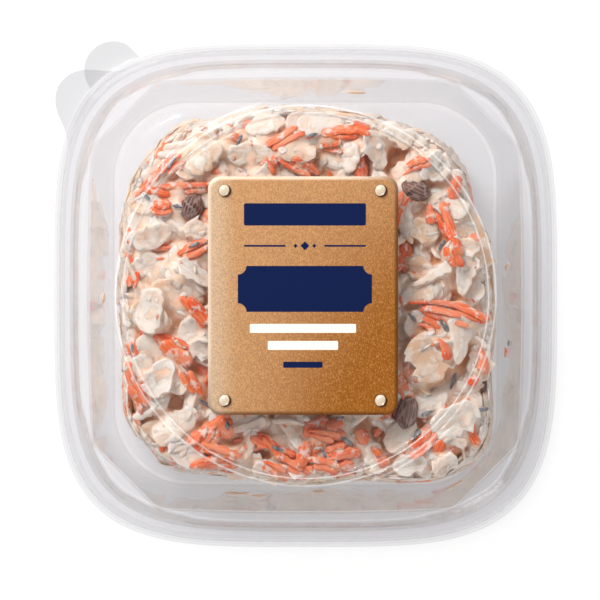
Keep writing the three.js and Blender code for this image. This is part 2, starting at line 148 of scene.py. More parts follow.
class Bench:
    """Adds nodes to a tree."""

    def __init__(self, tree):
        self.tree = tree

    def add(self, kind, sockets=None, out=0, **settings):
        """A node of this kind, with values or wires for its sockets, and its settings."""
        node = self.tree.nodes.new(kind)
        for name, value in settings.items():
            setattr(node, name, value)
        for key, value in (sockets or {}).items():
            if isinstance(value, Wire):
                self.tree.links.new(value.socket, node.inputs[key])
            else:
                node.inputs[key].default_value = value
        return Wire(self, node.outputs[out]) if node.outputs else node

    def blend(self, share, first, second):
        """Two colours mixed, from the first at 0 to the second at 1."""
        return self.add("ShaderNodeMix", {0: share, 6: first, 7: second}, 2, data_type="RGBA")


def tone(red, green, blue):
    """A colour given as on a screen, 0 to 255, in the linear scale that shaders take."""
    def linear(value):
        share = value / 255
        return share / 12.92 if share <= 0.04045 else ((share + 0.055) / 1.055) ** 2.4

    return (linear(red), linear(green), linear(blue), 1.0)


def grey(value):
    return (value, value, value, 1.0)


class Finish(Bench):
    """The nodes of one material."""

    def __init__(self, name):
        self.material = bpy.data.materials.new(name)
        self.material.use_nodes = True
        super().__init__(self.material.node_tree)
        self.tree.nodes.clear()
        self.place = self.add("ShaderNodeTexCoord", out="Object")

    def spot(self, axis):
        """Where a spot lies along X, Y or Z, in millimetres."""
        return self.add("ShaderNodeSeparateXYZ", {0: self.place}, out=axis) * (1 / MM)

    def rim_distance(self):
        """Half the size, in millimetres, of the rim-shaped square through each spot."""
        total = abs(self.spot("X")) ** RIM_SQUARENESS + abs(self.spot("Y")) ** RIM_SQUARENESS
        return total ** (1 / RIM_SQUARENESS)

    def below_top(self):
        """1 low on the heap's side and 0 at its top, for a painted shade that dulls the side below
        the lit top.
        """
        return 1.0 - self.spot("Z").within(24.0, 33.0)

    def attribute(self, name, out="Fac"):
        return self.add("ShaderNodeAttribute", out=out, attribute_name=name)

    def noise(self, scale, detail=2.0, roughness=0.5, vector=None):
        return self.add("ShaderNodeTexNoise", {
            "Vector": vector or self.place, "Scale": scale, "Detail": detail,
            "Roughness": roughness,
        })

    def patches(self, scale, low, high, detail=2.0, roughness=0.5):
        """Patches with soft edges."""
        return self.noise(scale, detail, roughness).within(low, high)

    def stretched(self, vector, along, across):
        """The same vector, squeezed or drawn out along its first two axes."""
        return self.add("ShaderNodeMapping", {"Vector": vector, "Scale": (along, across, 1.0)})

    def along_grain(self, along, across):
        """Fine lines that follow a shred, from its own grain."""
        grain = self.attribute("grain", "Vector")
        return self.noise(1.0, 3.0, vector=self.stretched(grain, along, across))

    def bump(self, height, distance, strength):
        sockets = {"Height": height, "Distance": distance, "Strength": strength}
        return self.add("ShaderNodeBump", sockets)

    def layered(self, colour, *layers):
        """A colour with others over it, each by its share and given as on a screen."""
        for share, over in layers:
            colour = self.blend(share, colour, tone(*over))
        return colour

    def clear(self, colour):
        return self.add("ShaderNodeBsdfTransparent", {"Color": colour})

    def principled(self, sockets):
        return self.add("ShaderNodeBsdfPrincipled", sockets)

    def either(self, share, first, second):
        return self.add("ShaderNodeMixShader", {0: share, 1: first, 2: second})

    def close(self, shader):
        self.add("ShaderNodeOutputMaterial", {"Surface": shader})
        return self.material

    def close_food(self, colour, rough, relief, soak, soak_radius, soak_depth=0.0009):
        """Moist food: soft light inside it and a wet shine on it."""
        return self.close(self.principled({
            "Base Color": colour, "Roughness": rough, "Normal": relief, "IOR": 1.42,
            "Subsurface Weight": soak, "Subsurface Radius": soak_radius,
            "Subsurface Scale": soak_depth, "Specular IOR Level": 0.85,
        }))


# ---------------------------------------------------------------- finishes

PLASTIC_IOR = 1.47
PLASTIC_TINT = (0.893, 0.889, 0.903, 1.0)
TAB_PAINTED_SHADE = 0.058
# Tan for the painted shade deep in the heap's hollows, partly also the warm tint of dressing soaked
# there.
HOLLOW_SHADE_TAN = (214, 146, 90)


def clear_plastic(name, shade, polish, bending, inner):
    """Thin clear plastic that mirrors most where it is steep. Bending is the share of the
    light that its folds turn aside, inner the share of the shine that its far face keeps."""
    bench = Finish(name)
    gloss = polish + 0.02 * bench.noise(60.0, 3.0)
    ripple = bench.bump(bench.noise(90.0, 1.0), 0.00006, 0.2)
    glass = bench.principled({
        "Base Color": PLASTIC_TINT, "Roughness": gloss, "IOR": PLASTIC_IOR,
        "Transmission Weight": 1.0,
    })
    film = bench.clear(tuple(math.sqrt(value) for value in PLASTIC_TINT))
    shine = bench.add("ShaderNodeBsdfGlossy", {"Roughness": gloss, "Normal": ripple})
    steepness = bench.add("ShaderNodeFresnel", {"IOR": PLASTIC_IOR, "Normal": ripple})
    far_face = bench.add("ShaderNodeNewGeometry", out="Backfacing")
    mirror = steepness * (1.0 - far_face * (1.0 - inner))
    sheet = bench.either(bending, bench.either(mirror, film, shine), glass)
    # painted shade: the tabs beyond the rim are darkened by a dark see-through sheet
    on_tab = bench.rim_distance().within(RIM_HALF, RIM_HALF + 0.6)
    sheet = bench.either(on_tab * TAB_PAINTED_SHADE, sheet, bench.clear((0.2, 0.19, 0.2, 1.0)))
    # painted highlight: along sharp bends the plastic turns white and glows, as the crease values
    # say
    painted_crease_glow = bench.principled({
        "Base Color": grey(0.95), "Roughness": 0.4, "Emission Strength": 0.35,
        "Emission Color": grey(1.0),
    })
    sheet = bench.either(bench.attribute("crease"), sheet, painted_crease_glow)
    in_shadow = bench.add("ShaderNodeLightPath", out="Is Shadow Ray")
    return bench.close(bench.either(in_shadow, sheet, bench.clear(grey(shade))))


def bar_mask(x, y, centre, half, corner, soft=0.04):
    """1 inside an upright bar with round corners, in millimetres, and 0 outside it."""
    across = (abs(x - centre[0]) - (half[0] - corner)).most(0.0)
    along = (abs(y - centre[1]) - (half[1] - corner)).most(0.0)
    distance = (across * across + along * along) ** 0.5 - corner
    return 1.0 - distance.within(-soft, soft)


def plaque_mask(x, y, centre, half, bite):
    """1 inside a plaque whose corners are bitten out in quarter circles."""
    across, along = abs(x - centre[0]) - half[0], abs(y - centre[1]) - half[1]
    bitten = bite - (across * across + along * along) ** 0.5
    return 1.0 - across.most(along).most(bitten).within(-0.03, 0.05)


# The print, in millimetres: bars as middle, half size and corner, diamonds as x and half size.
NAVY_BARS = (
    ((-0.2, 22.65), (17.0, 3.1), 0.5), ((-11.4, 13.9), (5.8, 0.26), 0.1),
    ((11.0, 13.9), (5.8, 0.26), 0.1), ((-0.75, -19.25), (5.5, 0.85), 0.3),
)
CREAM_BARS = (((-0.75, -9.1), (14.8, 1.25), 0.3), ((-0.75, -13.85), (9.8, 1.25), 0.3))
PLAQUE = ((-0.2, 1.9), (18.7, 6.4), 2.4)
DIAMONDS = ((-2.8, 0.6), (-0.2, 1.25), (2.4, 0.6))
DIAMOND_LINE = 13.9
LABEL_EDGE = 0.8


def label_gold():
    """Fine grainy gold foil with navy and cream print, and painted light: a sheen lighter at the
    upper left and along the left edge, and painted highlight and shade on the rolled edge.
    """
    bench = Finish("label_gold")
    x, y = bench.spot("X"), bench.spot("Y")
    grain = bench.noise(3100.0, 3.0, 0.6, bench.stretched(bench.place, 1.0, 0.6))
    fine = bench.noise(5200.0, 1.0)
    # painted sheen: the foil lighter at the upper left and darker at the lower right
    slope = (0.445 + x * 0.0155 + y * -0.0068 + x * y * -0.00034).within(0.0, 1.0)
    # painted highlight: a lighter band along the left edge
    painted_left_glow = 1.0 - (x + 27.25).within(1.0, 9.0)
    ground = bench.layered(bench.blend(slope, tone(240, 184, 132), tone(188, 114, 38)),
                           (painted_left_glow * 0.85, (255, 224, 190)))
    speck = grain.within(0.36, 0.66) * 0.7 + fine * 0.3
    ground = bench.blend(speck, bench.layered(ground, (0.45, (120, 66, 22))), ground)
    ground = bench.layered(ground, (grain.within(0.5, 0.64) * 0.3, (240, 186, 118)))
    inner_half = [size / 2 - LABEL_EDGE for size in LABEL_SIZE]
    edge = 1.0 - bar_mask(x, y, LABEL_CENTRE, inner_half, LABEL_CORNER - LABEL_EDGE, 0.5)
    # painted highlight and shade on the rolled edge: cream where it faces the upper left, dark
    # brown where it faces the lower right
    lit = (y * (1 / LABEL_SIZE[1]) - (x - LABEL_CENTRE[0]) * (1 / LABEL_SIZE[0])).within(-0.15, 0.3)
    painted_edge_light_and_shade = bench.blend(lit, tone(104, 58, 18), tone(255, 236, 214))
    ground = bench.blend(edge * 0.75, ground, painted_edge_light_and_shade)
    navy = plaque_mask(x, y, *PLAQUE)
    for bar in NAVY_BARS:
        navy = navy.most(bar_mask(x, y, *bar))
    for middle, size in DIAMONDS:
        diamond = abs(x - middle) + abs(y - DIAMOND_LINE)
        navy = navy.most(1.0 - diamond.within(size - 0.04, size + 0.05))
    cream = bar_mask(x, y, *CREAM_BARS[0]).most(bar_mask(x, y, *CREAM_BARS[1]))
    relief = bench.bump(grain * 0.7 + fine * 0.3, 0.0003, 0.35)
    return bench.close(bench.principled({
        "Base Color": bench.layered(ground, (navy, (8, 26, 70)), (cream, (252, 246, 232))),
        "Metallic": (1.0 - navy.most(cream)) * 0.5, "Specular IOR Level": 0.15,
        "Roughness": 0.42 + 0.1 * grain, "Normal": relief,
    }))


def stud_gold():
    """Cream gold, dark round the foot, and with a painted shade in a crescent at its lower right.
    """
    bench = Finish("stud_gold")
    grain = bench.noise(900.0)
    seat = LABEL_FOOT + LABEL_THICKNESS
    foot = 1.0 - bench.spot("Z").within(seat + 0.25, seat + 0.5)
    aside = []
    for i, axis in enumerate("XY"):
        along = bench.spot(axis) - LABEL_CENTRE[i]
        side = (along > 0.0) * 2.0 - 1.0
        aside.append(along - side * (LABEL_SIZE[i] / 2 - STUD_INSET[i]))
    # painted shade: a dark crescent at each stud's lower right
    across, along = aside[0] + 0.5, aside[1] - 0.25
    painted_shade_crescent = ((across * across + along * along) ** 0.5).within(1.55, 1.85)
    colour = bench.blend(grain, tone(255, 240, 218), tone(250, 222, 188))
    return bench.close(bench.principled({
        "Base Color": bench.layered(colour, (painted_shade_crescent.most(foot), (84, 44, 18))),
        "Metallic": 0.5, "Roughness": 0.25 + 0.1 * grain,
    }))


def cabbage_flesh():
    """Pale leaf with fine veins along it and dressing in white patches, with painted shade: tan in
    the heap's hollows and duller low on its side.
    """
    bench = Finish("cabbage_flesh")
    veins = bench.along_grain(0.16, 1.5)
    own = bench.attribute("own")
    smear = bench.patches(300.0, 0.48, 0.58, roughness=0.6)
    colour = bench.layered(
        bench.blend(own, tone(252, 235, 222), tone(246, 214, 194)),
        (own.within(0.66, 1.0) * 0.8, (228, 184, 142)),
        (veins.within(0.42, 0.66) * 0.4, (232, 190, 156)),
        (bench.patches(150.0, 0.4, 0.66, 3.0) * 0.5, (250, 237, 223)),
        (smear * 0.55, (250, 238, 227)),
        # painted shade: tan deep in the heap's hollows
        (bench.attribute("deep").within(0.1, 0.8) * 0.85, HOLLOW_SHADE_TAN),
        # painted shade: duller low on the heap's side
        (bench.below_top() * 0.55, (216, 184, 150)),
    )
    height = veins * (1.0 - smear) * 0.35 + smear * 0.5 + bench.noise(560.0) * 0.7
    return bench.close_food(colour, 0.24 - 0.12 * smear, bench.bump(height, 0.0005, 0.7),
                            0.8, (1.0, 1.0, 0.96), 0.0011)


def carrot_flesh():
    """Orange sticks with fibres along them, salmon and white where the dressing clings."""
    bench = Finish("carrot_flesh")
    fibres = bench.along_grain(0.25, 2.4)
    smear = bench.patches(380.0, 0.52, 0.64, 3.0, 0.65)
    colour = bench.layered(
        bench.blend(bench.attribute("own"), tone(250, 108, 40), tone(236, 78, 18)),
        (fibres.within(0.44, 0.6) * 0.65, (253, 158, 104)),
        (bench.patches(130.0, 0.4, 0.62) * 0.5, (250, 176, 142)),
        (smear * 0.75, (251, 226, 212)),
        # painted shade: a deeper orange in the heap's hollows
        (bench.attribute("deep").within(0.2, 1.0) * 0.5, (200, 74, 22)),
    )
    height = fibres * 0.7 + smear * 0.5 + bench.noise(620.0) * 0.5
    return bench.close_food(colour, 0.24 - 0.1 * smear, bench.bump(height, 0.0005, 0.7),
                            0.5, (1.0, 0.5, 0.25))


def herb_flesh():
    """Dark grey-green slivers with a film of dressing on them."""
    bench = Finish("herb_flesh")
    mottle = bench.noise(600.0, 3.0)
    colour = bench.blend(mottle.within(0.35, 0.65), tone(84, 86, 92), tone(146, 146, 148))
    colour = bench.layered(colour, (bench.patches(420.0, 0.52, 0.68) * 0.7, (206, 204, 204)))
    return bench.close_food(colour, 0.3 - 0.08 * mottle, bench.bump(mottle, 0.0003, 0.5),
                            0.1, (1.0, 0.9, 0.8))


def creamy_dressing():
    """Glossy dressing: off-white, salmon over carrot, and with painted shade: tan where it has sunk
    into the heap and duller low on its side.
    """
    bench = Finish("creamy_dressing")
    cloud = bench.noise(180.0, 3.0)
    colour = bench.layered(
        bench.blend(cloud.within(0.35, 0.65), tone(252, 236, 220), tone(247, 216, 190)),
        (bench.patches(120.0, 0.46, 0.66, 3.0) * 0.4, (246, 190, 156)),
        (bench.attribute("carrot") * 0.85, (250, 158, 116)),
        # painted shade: tan deep in the heap's hollows
        (bench.attribute("deep").within(0.1, 0.75) * 0.85, HOLLOW_SHADE_TAN),
        # painted shade: duller low on the heap's side
        (bench.below_top() * 0.55, (222, 194, 164)),
    )
    relief = bench.bump(bench.noise(480.0, 3.0), 0.0005, 0.8)
    return bench.close_food(colour, 0.1 + 0.14 * cloud, relief, 0.8, (1.0, 0.97, 0.9), 0.0014)


def raisin_skin():
    """Dark wrinkled skin with a milky film in its hollows."""
    bench = Finish("raisin_skin")
    mottle = bench.noise(500.0, 3.0)
    hollow = bench.attribute("fold").within(0.5, 0.8) * 0.7
    milk = hollow.most(bench.patches(260.0, 0.4, 0.62) * 0.3)
    colour = bench.blend(mottle.within(0.3, 0.7), tone(58, 26, 18), tone(106, 62, 46))
    colour = bench.layered(colour, (milk, (182, 152, 140)))
    return bench.close_food(colour, 0.3 + 0.2 * mottle, bench.bump(mottle, 0.0004, 0.5),
                            0.1, (1.0, 0.5, 0.4))


def table_white():
    """A white table top that glows, so that nothing under the tub goes dark: evenly away from it,
    and under it brighter towards the upper left, a painted light.
    """
    bench = Finish("table_white")
    away = bench.rim_distance().within(66.0, 78.0)
    near_by = bench.blend(bench.noise(3.0), (0.43, 0.43, 0.432, 1.0), (0.45, 0.45, 0.452, 1.0))
    # painted light: under the tub the glow grows towards the upper left
    facing = (bench.spot("Y") - bench.spot("X")).within(-50.0, 90.0)
    glow_near = bench.blend(facing, grey(0.45), (0.64, 0.638, 0.637, 1.0))
    return bench.close(bench.principled({
        "Base Color": bench.blend(away, near_by, grey(0.06)), "Roughness": 0.9,
        "Specular IOR Level": 0.0, "Emission Color": bench.blend(away, glow_near, grey(0.96)),
        "Emission Strength": 1.0,
    }))


# ---------------------------------------------------------------- outlines, as radius by angle

QUARTER = math.pi / 2


def folded(angle):
    turned = np.mod(angle, QUARTER)
    return np.minimum(turned, QUARTER - turned)


def superellipse(half, power=RIM_SQUARENESS):
    def outline(angle):
        total = np.abs(np.cos(angle)) ** power + np.abs(np.sin(angle)) ** power
        return half / total ** (1 / power)

    return outline


def rounded_square(half, corner):
    straight = half - corner

    def outline(angle):
        a = folded(angle)
        total = np.cos(a) + np.sin(a)
        root = np.sqrt(np.maximum(corner ** 2 - straight ** 2 * (2 - total ** 2), 0))
        return np.where(np.tan(a) * half <= straight, half / np.cos(a), straight * total + root)

    return outline


def eight_sided(half, vertex, bow):
    corner_x = half - bow

    def outline(angle):
        a = folded(angle)
        bend = bow * (np.sin(a) / vertex) ** 2
        side = (2 * half) / (np.cos(a) + np.sqrt(np.cos(a) ** 2 + 4 * bend * half))
        cut = (corner_x + vertex) / (np.cos(a) + np.sin(a))
        return np.where(np.tan(a) * corner_x >= vertex, cut, side)

    return outline


def grown(outline, by):
    return lambda angle: outline(angle) + by


def midway(first, second):
    return lambda angle: 0.5 * first(angle) + 0.5 * second(angle)


def with_tab(outline, centre):
    """The outline with a round pull tab that flows into it."""
    distance, heading = math.hypot(*centre), math.atan2(centre[1], centre[0])

    def tabbed(angle):
        rim = outline(angle)
        low, high = rim - 1.0, rim + 2 * TAB_RADIUS
        turned = angle - heading
        for _ in range(24):
            half = (low + high) / 2
            from_rim = half - rim
            from_tab = np.sqrt(np.maximum(
                half ** 2 + distance ** 2 - 2 * half * distance * np.cos(turned), 0)) - TAB_RADIUS
            overlap = np.maximum(TAB_FILLET - np.abs(from_rim - from_tab), 0) / TAB_FILLET
            outside = np.minimum(from_rim, from_tab) - overlap ** 2 * TAB_FILLET / 4 > 0
            high = np.where(outside, half, high)
            low = np.where(outside, low, half)
        return np.maximum(low, rim)

    return tabbed


# ---------------------------------------------------------------- meshes


def put(name, data):
    """An object in the scene."""
    holder = bpy.data.objects.new(name, data)
    bpy.context.scene.collection.objects.link(holder)
    return holder


def give_values(mesh, **values):
    """Attributes that the finish reads, with a value for each point, or one for all."""
    for key, value in values.items():
        value = np.asarray(value, np.float32)
        if value.ndim == 0:
            value = np.full(len(mesh.vertices), value)
        flat = value.ndim == 1
        layer = mesh.attributes.new(key, "FLOAT" if flat else "FLOAT_VECTOR", "POINT")
        layer.data.foreach_set("value" if flat else "vector", value.ravel())


def new_piece(name, points, faces, material, **values):
    """A smooth piece from points in millimetres, with its values."""
    mesh = bpy.data.meshes.new(name)
    mesh.from_pydata((np.asarray(points) * MM).tolist(), [], faces)
    mesh.materials.append(material)
    mesh.shade_smooth()
    give_values(mesh, **values)
    mesh.validate()
    return put(name, mesh)


def plain_piece(name, holder):
    """The plain piece that an object comes to with its modifiers. The object goes."""
    bpy.context.view_layer.update()
    graph = bpy.context.evaluated_depsgraph_get()
    mesh = bpy.data.meshes.new_from_object(holder.evaluated_get(graph), depsgraph=graph)
    bpy.data.objects.remove(holder)
    mesh.name = name
    return put(name, mesh)


def skin_faces(rings, sides):
    """Faces of a closed skin: one point, rings of points, and a last point."""
    top, last = 1 + (rings - 1) * sides, 1 + rings * sides
    faces = []
    for i in range(sides):
        j = (i + 1) % sides
        faces.append((0, 1 + j, 1 + i))
        for low in range(1, top, sides):
            high = low + sides
            faces.append((low + i, low + j, high + j, high + i))
        faces.append((top + i, top + j, last))
    return faces


ROUND_STEPS = 5
HOLD = 1.35     # a row this much farther out than a rounding keeps the flat beside it flat


def eased(rings):
    """Profile corners rounded. Each ring is (values, height, cut): values is a vector or an
    outline, and the cut is how far the rounding reaches. The first and the last ring are points
    on the axis.

    A row is its shares of the rings, its height, and the ring whose edge it rounds with how near
    it lies to the middle of the bend.
    """
    def row(i, shares, near=0.0):
        return shares, sum(share * rings[j][1] for j, share in shares.items()), (i, near)

    rows = [row(0, {0: 1.0})]
    spot = [np.array([size_of(values), height]) for values, height, _ in rings]
    for i in range(1, len(rings) - 1):
        cut = rings[i][2]
        if not cut:
            rows.append(row(i, {i: 1.0}))
            continue
        back, ahead = np.linalg.norm(spot[i - 1] - spot[i]), np.linalg.norm(spot[i + 1] - spot[i])
        before, after = min(cut / back, 0.46), min(cut / ahead, 0.46)
        if before * HOLD < 0.5:
            rows.append(row(i, {i: 1 - before * HOLD, i - 1: before * HOLD}))
        for step in range(ROUND_STEPS + 1):
            t = step / ROUND_STEPS
            shares = {i - 1: (1 - t) ** 2 * before, i + 1: t ** 2 * after}
            shares[i] = 1.0 - shares[i - 1] - shares[i + 1]
            rows.append(row(i, shares, 4 * t * (1 - t)))
        if after * HOLD < 0.5:
            rows.append(row(i, {i: 1 - after * HOLD, i + 1: after * HOLD}))
    rows.append(row(len(rings) - 1, {len(rings) - 1: 1.0}))
    return rows


def size_of(values):
    if values is None:
        return 0.0
    return float(values(np.zeros(1))[0]) if callable(values) else float(values[0])


def directions_round(count, extra=()):
    even = np.arange(count) * 2 * math.pi / count
    return np.unique(np.round(np.concatenate([even, *extra]), 7))


def loft(rings, rows, directions):
    """A closed skin through rings of (outline, height, cut), from axis to axis."""
    outlines = [ring[0] or (lambda angle: np.zeros_like(angle)) for ring in rings]
    radii = [outline(directions) for outline in outlines]
    points = [(0, 0, rows[0][1])]
    for shares, height, _ in rows[1:-1]:
        r = sum(share * radii[j] for j, share in shares.items())
        points.extend(zip(r * np.cos(directions), r * np.sin(directions), 0 * r + height))
    points.append((0, 0, rows[-1][1]))
    return points, skin_faces(len(rows) - 2, len(directions))


# ---------------------------------------------------------------- tub

mouth = eight_sided(MOUTH_HALF, MOUTH_VERTEX, MOUTH_BOW)
floor_line = rounded_square(FLOOR_HALF, FLOOR_CORNER)
floor_panel = rounded_square(PANEL_HALF, PANEL_CORNER)
waist = midway(floor_line, mouth)
WAIST_HEIGHT = (TUB_WALL + LEDGE) / 2
TUB_DIRECTIONS = 440

# How white the plastic is painted where it bends inside, a painted highlight that also glows, and
# how narrow that line is.
TUB_CREASES = {floor_line: (0.26, 14), mouth: (0.16, 3)}


def make_tub(material):
    rim_foot = superellipse(PLUG_HALF - PLUG_DRAFT + LID_WALL + GAP)
    rim_top = superellipse(PLUG_HALF + LID_WALL + GAP)
    flange_top = LID_TOP - LID_WALL - GAP
    lip_half = FLANGE_HALF - LID_WALL
    lip_bottom = SKIRT_BOTTOM - LID_WALL
    lip = superellipse(lip_half + LIP_FLARE + TUB_WALL)
    tab_line = with_tab(superellipse(lip_half + LIP_FLARE + TUB_WALL + 0.05), TUB_TAB)
    tab_low = lip_bottom - TAB_DROP
    rings = [
        (None, PANEL_RISE, 0),
        (floor_panel, PANEL_RISE, 0.3),
        (grown(floor_panel, PANEL_RAMP), FOOT_RISE, 0.3),
        (grown(floor_line, TUB_WALL - FOOT_WIDTH - FOOT_SLOPE), FOOT_RISE, 0.25),
        (grown(floor_line, TUB_WALL - FOOT_WIDTH), 0, 0.25),
        (grown(floor_line, TUB_WALL), 0, CREASE),
        (grown(waist, TUB_WALL), WAIST_HEIGHT, 0),
        (grown(mouth, TUB_WALL), LEDGE - TUB_WALL, 0.3),
        (grown(rim_foot, TUB_WALL), LEDGE - TUB_WALL, 0.3),
        (grown(rim_top, TUB_WALL), flange_top - TUB_WALL, 0.4),
        (superellipse(lip_half - TUB_WALL), flange_top - TUB_WALL, 0.3),
        (superellipse(lip_half + LIP_FLARE), tab_low, 0),
        (tab_line, tab_low, 0.12),
        (tab_line, tab_low + TUB_WALL, 0.12),
        (lip, tab_low + TUB_WALL, 0.05),
        (superellipse(lip_half), flange_top, 0.5),
        (rim_top, flange_top, 0.25),
        (rim_foot, LEDGE, 0.25),
        (mouth, LEDGE, 0.3),
        (waist, WAIST_HEIGHT, 0),
        (floor_line, TUB_WALL, CREASE),
        (grown(floor_line, -FOOT_WIDTH), TUB_WALL, 0.25),
        (grown(floor_line, -FOOT_WIDTH - FOOT_SLOPE), TUB_WALL + FOOT_RISE, 0.25),
        (grown(floor_panel, PANEL_RAMP), TUB_WALL + FOOT_RISE, 0.3),
        (floor_panel, TUB_WALL + PANEL_RISE, 0.3),
        (None, TUB_WALL + PANEL_RISE, 0),
    ]
    vertex_angle = math.atan2(MOUTH_VERTEX, MOUTH_HALF - MOUTH_BOW)
    corners = [turn * QUARTER + side * vertex_angle for turn in range(4) for side in (1, -1)]
    corners = np.mod(corners, 2 * math.pi)
    tabs = np.radians(np.arange(118, 153, 0.25))
    directions = directions_round(TUB_DIRECTIONS, [corners, tabs])
    rows = eased(rings)
    points, faces = loft(rings, rows, directions)
    row_crease = []
    for _, _, (i, near) in rows[1:-1]:
        white, sharp = TUB_CREASES.get(rings[i][0], (0.0, 1))
        row_crease.append(white * near ** sharp)
    crease = np.concatenate([[0.0], np.repeat(row_crease, len(directions)), [0.0]])
    return new_piece("clear_tub", points, faces, material, crease=crease)


# ---------------------------------------------------------------- shapes grown by a tree


class Shape(Bench):
    """A shape tree with named inputs, where a piece of geometry goes in and comes out."""

    def __init__(self, name, inputs):
        super().__init__(bpy.data.node_groups.new(name, "GeometryNodeTree"))
        self.socket("Geometry", "Geometry", "OUTPUT")
        for key, kind in {"Geometry": "Geometry", **inputs, "Material": "Material"}.items():
            self.socket(key, kind, "INPUT")
        self.given = self.add("NodeGroupInput")

    def socket(self, name, kind, way):
        self.tree.interface.new_socket(name, in_out=way, socket_type="NodeSocket" + kind)

    def input(self, name):
        return self.given.out(name)

    def close(self, geometry):
        """The geometry goes out whole, smooth and in its material."""
        whole = self.add("GeometryNodeRealizeInstances", {"Geometry": geometry})
        smooth = self.add("GeometryNodeSetShadeSmooth", {"Geometry": whole})
        sockets = {"Geometry": smooth, "Material": self.input("Material")}
        self.add("NodeGroupOutput", {0: self.add("GeometryNodeSetMaterial", sockets)})
        return self.tree


def grow_shape(name, tree, values, base=None):
    """Runs a shape tree on a base mesh and returns the plain mesh that comes out, as a piece."""
    holder = put(name + "_base", base.copy() if base else bpy.data.meshes.new(name + "_base"))
    modifier = holder.modifiers.new("shape", "NODES")
    modifier.node_group = tree
    for item in tree.interface.items_tree:
        if item.in_out == "INPUT" and item.name in values:
            modifier[item.identifier] = values[item.name]
    return plain_piece(name, holder)


# ---------------------------------------------------------------- lid

LID_DIRECTIONS = 600
NOTCH_TURN = (math.radians(26), math.radians(30))      # from a side towards the corner
NOTCH_SHALLOW = (math.radians(41), math.radians(43))   # round the corner's middle


def turned_skin_tree():
    """A closed skin whose every ring is a bulging square, from one row of half, level and power."""
    bench = Shape("turned_skin", {
        "Directions": "Int", "Tab Distance": "Float", "Tab Heading": "Float", "Tab Radius": "Float",
    })
    rows = bench.add("GeometryNodeAttributeDomainSize", {0: bench.given}, component="MESH")
    grid = bench.add("GeometryNodeMeshGrid", {
        "Vertices X": bench.input("Directions") + 1.0, "Vertices Y": rows,
    })
    index = bench.add("GeometryNodeInputIndex")
    row = index.maths("MODULO", rows)
    angle = (index / rows).maths("FLOOR") * (2 * math.pi) / bench.input("Directions")
    on_points = {"data_type": "FLOAT", "domain": "POINT"}

    def of_row(name):
        named = bench.add("GeometryNodeInputNamedAttribute", {"Name": name}, data_type="FLOAT")
        return bench.add("GeometryNodeSampleIndex",
                         {"Geometry": bench.given, "Value": named, "Index": row}, **on_points)

    across, along = angle.maths("COSINE"), angle.maths("SINE")
    power = of_row("power")
    total = abs(across) ** power + abs(along) ** power
    rim = of_row("half") / total ** (1.0 / power)
    turn = angle - bench.input("Tab Heading")
    distance, radius = bench.input("Tab Distance"), bench.input("Tab Radius")
    sideways = distance * turn.maths("SINE")
    inside = (radius * radius - sideways * sideways).most(0.0)
    ahead = turn.maths("COSINE") > 0.5
    far = (distance * turn.maths("COSINE") + inside ** 0.5) * ahead * (inside > 0.0)
    flowing = rim.maths("SMOOTH_MAX", far, LID_FILLET * MM)
    reach = rim + (flowing - rim) * of_row("tabness")
    quarter = angle.maths("MODULO", QUARTER)
    fold = quarter.least(QUARTER - quarter)
    notch = of_row("notch") * fold.within(*NOTCH_TURN) * (1.0 - 0.6 * fold.within(*NOTCH_SHALLOW))
    reach = reach - notch
    spot = bench.add("ShaderNodeCombineXYZ",
                     {0: reach * across, 1: reach * along, 2: of_row("level")})
    creased = {"Geometry": grid, "Name": "crease", "Value": of_row("crease")}
    creased = bench.add("GeometryNodeStoreNamedAttribute", creased, **on_points)
    placed = bench.add("GeometryNodeSetPosition", {"Geometry": creased, "Position": spot})
    merged = bench.add("GeometryNodeMergeByDistance", {"Geometry": placed, "Distance": 2e-6})
    return bench.close(merged)


# How white the plastic is painted where it bends sharply, a painted highlight that also glows, by
# the radius of the bend.
LID_CREASES = {BEAD_RADII[2]: 0.3, BEAD_RADII[3]: 0.3, PLUG_HALF - PLUG_DRAFT: 0.12}


